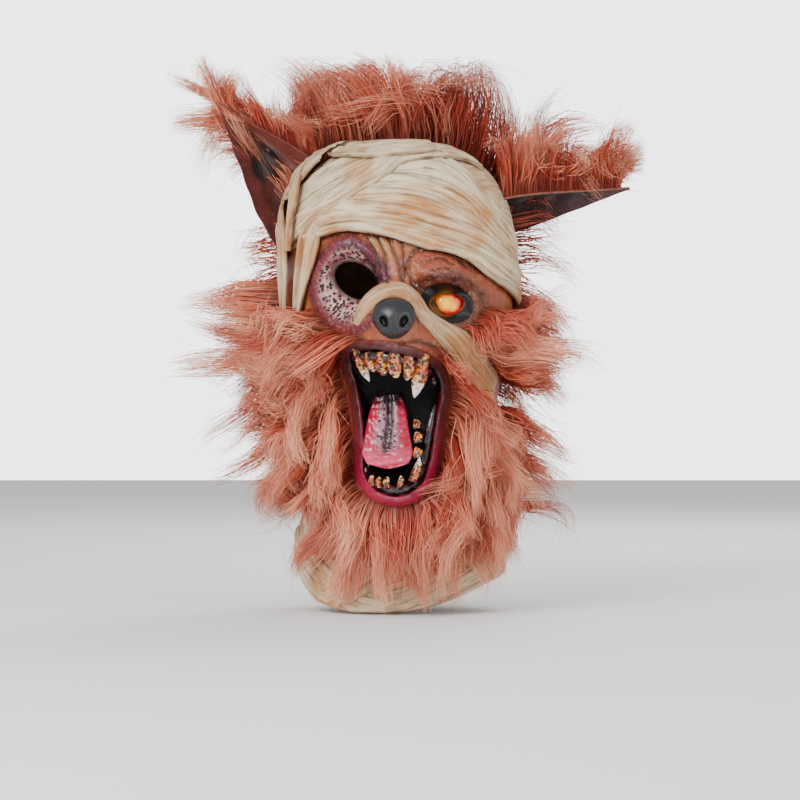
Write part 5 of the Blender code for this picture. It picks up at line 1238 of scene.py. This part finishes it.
# The nape: longer hair down the back of the head, glued in rows that overlap like
# thatch. It isn't in the photo, so it is the plain run of the crown's hair.
BACK = []
for turn in (100, 130, 160, 200, 230, 260):
    out, back = math.sin(math.radians(turn)), -math.cos(math.radians(turn))
    BACK.append((turn, 0.145, 0.45 * out, 0.55 * back, 0.25))
    for drop, fall in ((0.20, -0.60), (0.36, -0.68), (0.56, -0.76)):
        flank = out ** 4 * (0.62 - drop)
        BACK.append((turn, drop, (0.34 + 1.2 * flank) * out, 0.34 * back, fall * (1 - 1.6 * flank)))
points, faces, paint = grown(((98, 0.145), (262, 0.700)), BACK, 5600, 110, 211)
made = piece("back_hair", points, faces, fur, paint)
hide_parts("back_fur")

# The right cheek: hair from beside the mouth to the side of the head, glued in tufts and
# swept out and down.
RIGHT = [
    (-104, .300, -0.86, 0.10, -0.10), (-96, .330, -0.88, 0.06, 0.10),
    (-78, .392, -0.76, -0.05, 0.22), (-88, .410, -0.86, 0.02, 0.06),
        (-88, .450, -0.84, 0.05, -0.05),
    (-84, .490, -0.80, 0.00, -0.18), (-82, .540, -0.72, 0.00, -0.30),
        (-80, .590, -0.60, -0.05, -0.34),
    (-74, .650, -0.50, -0.05, -0.30), (-64, .430, -0.60, -0.30, -0.20),
        (-58, .500, -0.48, -0.34, -0.32),
    (-54, .580, -0.32, -0.36, -0.42), (-52, .670, -0.34, -0.30, -0.36),
        (-62, .735, -0.30, -0.20, -0.24),
    (-40, .420, -0.45, -0.40, -0.25), (-34, .520, -0.30, -0.40, -0.42),
        (-32, .640, -0.16, -0.38, -0.52)]


def beside_mouth(point, spots):
    """Keeps roots off the lips, the sockets and the nose."""
    x, z = point[:, 0], point[:, 2]
    free = ~inside_loop(x, z, mouth_loop(60, 0.009))
    free &= oval(x, z, SOCKET_CENTRE, SOCKET_HALF, 8) > 1.12
    free &= oval(x, z, LENS_CENTRE, (33, 24)) > 1.0
    free &= (spots[:, 1] > 0.355) | (np.abs(spots[:, 0]) > 84)
    nose_line = [(-40.9, -171.0), (-19.0, -144.4), (0.0, -140.6), (25.6, -171.0),
                 (60.8, -197.6), (89.3, -237.5)]
    return free & (line_distance(x, z, nose_line) > 0.013)


points, faces, paint = grown(((-112, 0.290), (-17, 0.760)), RIGHT, 7600, 100, 221, beside_mouth)
made = piece("right_cheek_hair", points, faces, fur, paint)
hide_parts("right_cheek_fur")

# The left cheek: the same hair below the fallen ear, from the end of the nose wrap to the
# side of the head.
LEFT = [
    (80, .345, 0.50, -0.05, 0.02), (84, .390, 0.66, 0.00, -0.12), (84, .440, 0.72, 0.02, -0.22),
    (82, .500, 0.68, 0.00, -0.26), (80, .560, 0.66, 0.00, -0.30), (78, .620, 0.60, -0.05, -0.34),
    (76, .690, 0.56, -0.05, -0.52), (68, .480, 0.40, -0.30, -0.25), (66, .560, 0.34, -0.34, -0.32),
    (66, .640, 0.26, -0.32, -0.42), (68, .725, 0.22, -0.25, -0.55), (40, .500, 0.30, -0.40, -0.40),
    (34, .600, 0.18, -0.40, -0.50), (32, .700, 0.12, -0.36, -0.56)]
points, faces, paint = grown(((17, 0.320), (108, 0.790)), LEFT, 7400, 100, 231, beside_mouth)
made = piece("left_cheek_hair", points, faces, fur, paint)
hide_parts("left_cheek_fur")

# The beard: hair glued along the chin's lower edge, hanging over the top of the bib in
# narrow pointed locks.
BEARD = [
    (-35, .800, -0.30, -0.10, -0.50), (-26, .820, -0.26, -0.14, -0.72),
    (-15, .820, -0.16, -0.16, -0.86),
    (-4, .820, 0.00, -0.18, -0.92), (7, .820, 0.10, -0.18, -0.84), (18, .820, 0.20, -0.16, -0.66),
    (29, .815, 0.30, -0.14, -0.46), (35, .800, 0.40, -0.10, -0.36)]
points, faces, paint = grown(((-38, 0.745), (40, 0.815)), BEARD, 3400, 34, 241, beside_mouth,
    lift=0.16, wave=0.007, sag=0.05)
made = piece("beard_hair", points, faces, fur, paint)
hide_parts("beard_fur")

# The ear fur: hair glued to the back and the upper edge of each latex ear, swept past its
# tip.
# along, aside, and the reach across, in depth and upward
EAR_GUIDES = [
    [(0.80, 0.00, -0.48, 0.15, 0.02), (0.70, -0.04, -0.62, 0.12, 0.30),
     (0.56, -0.12, -0.62, 0.10, 0.55), (0.42, -0.24, -0.48, 0.10, 0.76),
     (0.26, -0.34, -0.28, 0.10, 0.72), (0.50, 0.06, -0.80, 0.20, -0.10)],
    [(0.10, -0.26, 0.06, 0.15, 0.86), (0.30, -0.22, 0.10, 0.12, 0.92),
     (0.48, -0.14, 0.22, 0.10, 0.74), (0.64, -0.06, 0.36, 0.10, 0.58),
     (0.20, 0.20, 0.20, 0.45, -0.35), (0.45, 0.12, 0.30, 0.45, -0.20)]]
for ear, guides, amount in zip(EARS, EAR_GUIDES, (3300, 3300)):
    rng = np.random.default_rng(amount + len(ear[0]))
    guides = np.array(guides)

    def ear_rows(number, spread):
        """Roots on the back and the upper edge of the ear, with normals and reaches."""
        along = rng.uniform(-0.05, 0.92, number)
        aside = -1 + 1.6 * rng.uniform(0, 1, number) ** 1.5
        root = ear_point(ear, along, aside, EAR_WALL)
        gap = (along[:, None] - guides[None, :, 0]) ** 2
        gap = gap + ((aside[:, None] - guides[None, :, 1]) * 0.5) ** 2
        weight = 1 / (gap + 0.01) ** 2
        mean = (weight[..., None] * guides[None, :, 2:5]).sum(1) / weight.sum(1)[:, None]
        mean = mean + rng.normal(0, spread, mean.shape)
        reach = mean * FUR_LENGTH * rng.uniform(0.6, 1.05, (number, 1))
        return along, aside, root, np.broadcast_to(-ear_frame(ear)[3], root.shape), reach

    along, aside, root, normal, reach = ear_rows(amount, 0.10)
    tuft_along, tuft_aside, *tufts = ear_rows(44, 0.22)
    gap = (along[:, None] - tuft_along) ** 2 + ((aside[:, None] - tuft_aside) * 0.5) ** 2
    points, faces, paint = hairs(root, normal, reach, gap.argmin(1), tufts, amount,
                                 arch=0.18, wave=0.015, sag=0.10)
    made = piece(ear[0] + "_hair", points, faces, fur, paint)
    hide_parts(ear[0] + "_fur")

# The stage, not part of the object: a floor just under the hem, a white wall behind and
# three soft lamps, seen from the front at the height of the nose.
FLOOR = cad_low[2] - 0.001
CAMERA_AWAY, CAMERA_HEIGHT = 2.834, -0.245
floor_mesh = bpy.data.meshes.new("floor")
floor_mesh.from_pydata([(-6, -6, FLOOR), (6, -6, FLOOR), (6, 6, FLOOR), (-6, 6, FLOOR)], [],
    [(0, 1, 2, 3)])
floor = bpy.data.objects.new("floor", floor_mesh)
scene.collection.objects.link(floor)
# Matt white paint
floor_paint, tree, shader = new_material("floor_paint", 0.8, {})
shader.inputs["Base Color"].default_value = (0.93, 0.93, 0.93, 1)
floor_mesh.materials.append(floor_paint)
floor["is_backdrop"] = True
scene.world = scene.world or bpy.data.worlds.new("world")
scene.world.use_nodes = True
sky = scene.world.node_tree.nodes["Background"]
sky.inputs["Color"].default_value = (1, 1, 1, 1)
sky.inputs["Strength"].default_value = 0.72
wall_mesh = bpy.data.meshes.new("backdrop")
wall_mesh.from_pydata([(-5, 4.5, FLOOR), (5, 4.5, FLOOR), (5, 4.5, 5), (-5, 4.5, 5)], [],
    [(0, 1, 2, 3)])
wall = bpy.data.objects.new("backdrop", wall_mesh)
scene.collection.objects.link(wall)
# White paint, lit so that it stays plain
wall_paint, tree, shader = new_material("backdrop_paint", 1.0,
    {"Emission Color": (1, 1, 1, 1), "Emission Strength": 3.0})
wall_mesh.materials.append(wall_paint)
wall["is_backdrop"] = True
wall.visible_diffuse = wall.visible_glossy = False
for name, place, size, power in (
        ("key", (-1.1, -1.9, 1.0), 1.2, 58), ("fill", (1.6, -1.6, 0.2), 1.6, 16),
        ("rim", (0.6, 1.6, 1.2), 1.0, 30)):
    light = bpy.data.lights.new(name, "AREA")
    light.size, light.energy = size, power
    lamp = bpy.data.objects.new(name, light)
    lamp.location = place
    away = np.array([0, 0, -0.2]) - np.array(place)
    tip_up = math.atan2(math.hypot(away[0], away[1]), -away[2])
    lamp.rotation_euler = (tip_up, 0, math.atan2(-away[0], away[1]))
    scene.collection.objects.link(lamp)
camera = bpy.data.objects.new("camera", bpy.data.cameras.new("camera"))
camera.data.lens, camera.data.sensor_width = 130, 36
camera.location = (0, -CAMERA_AWAY, CAMERA_HEIGHT)
camera.rotation_euler = (math.pi / 2, 0, 0)
scene.collection.objects.link(camera)
scene.camera = camera

low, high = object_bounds()
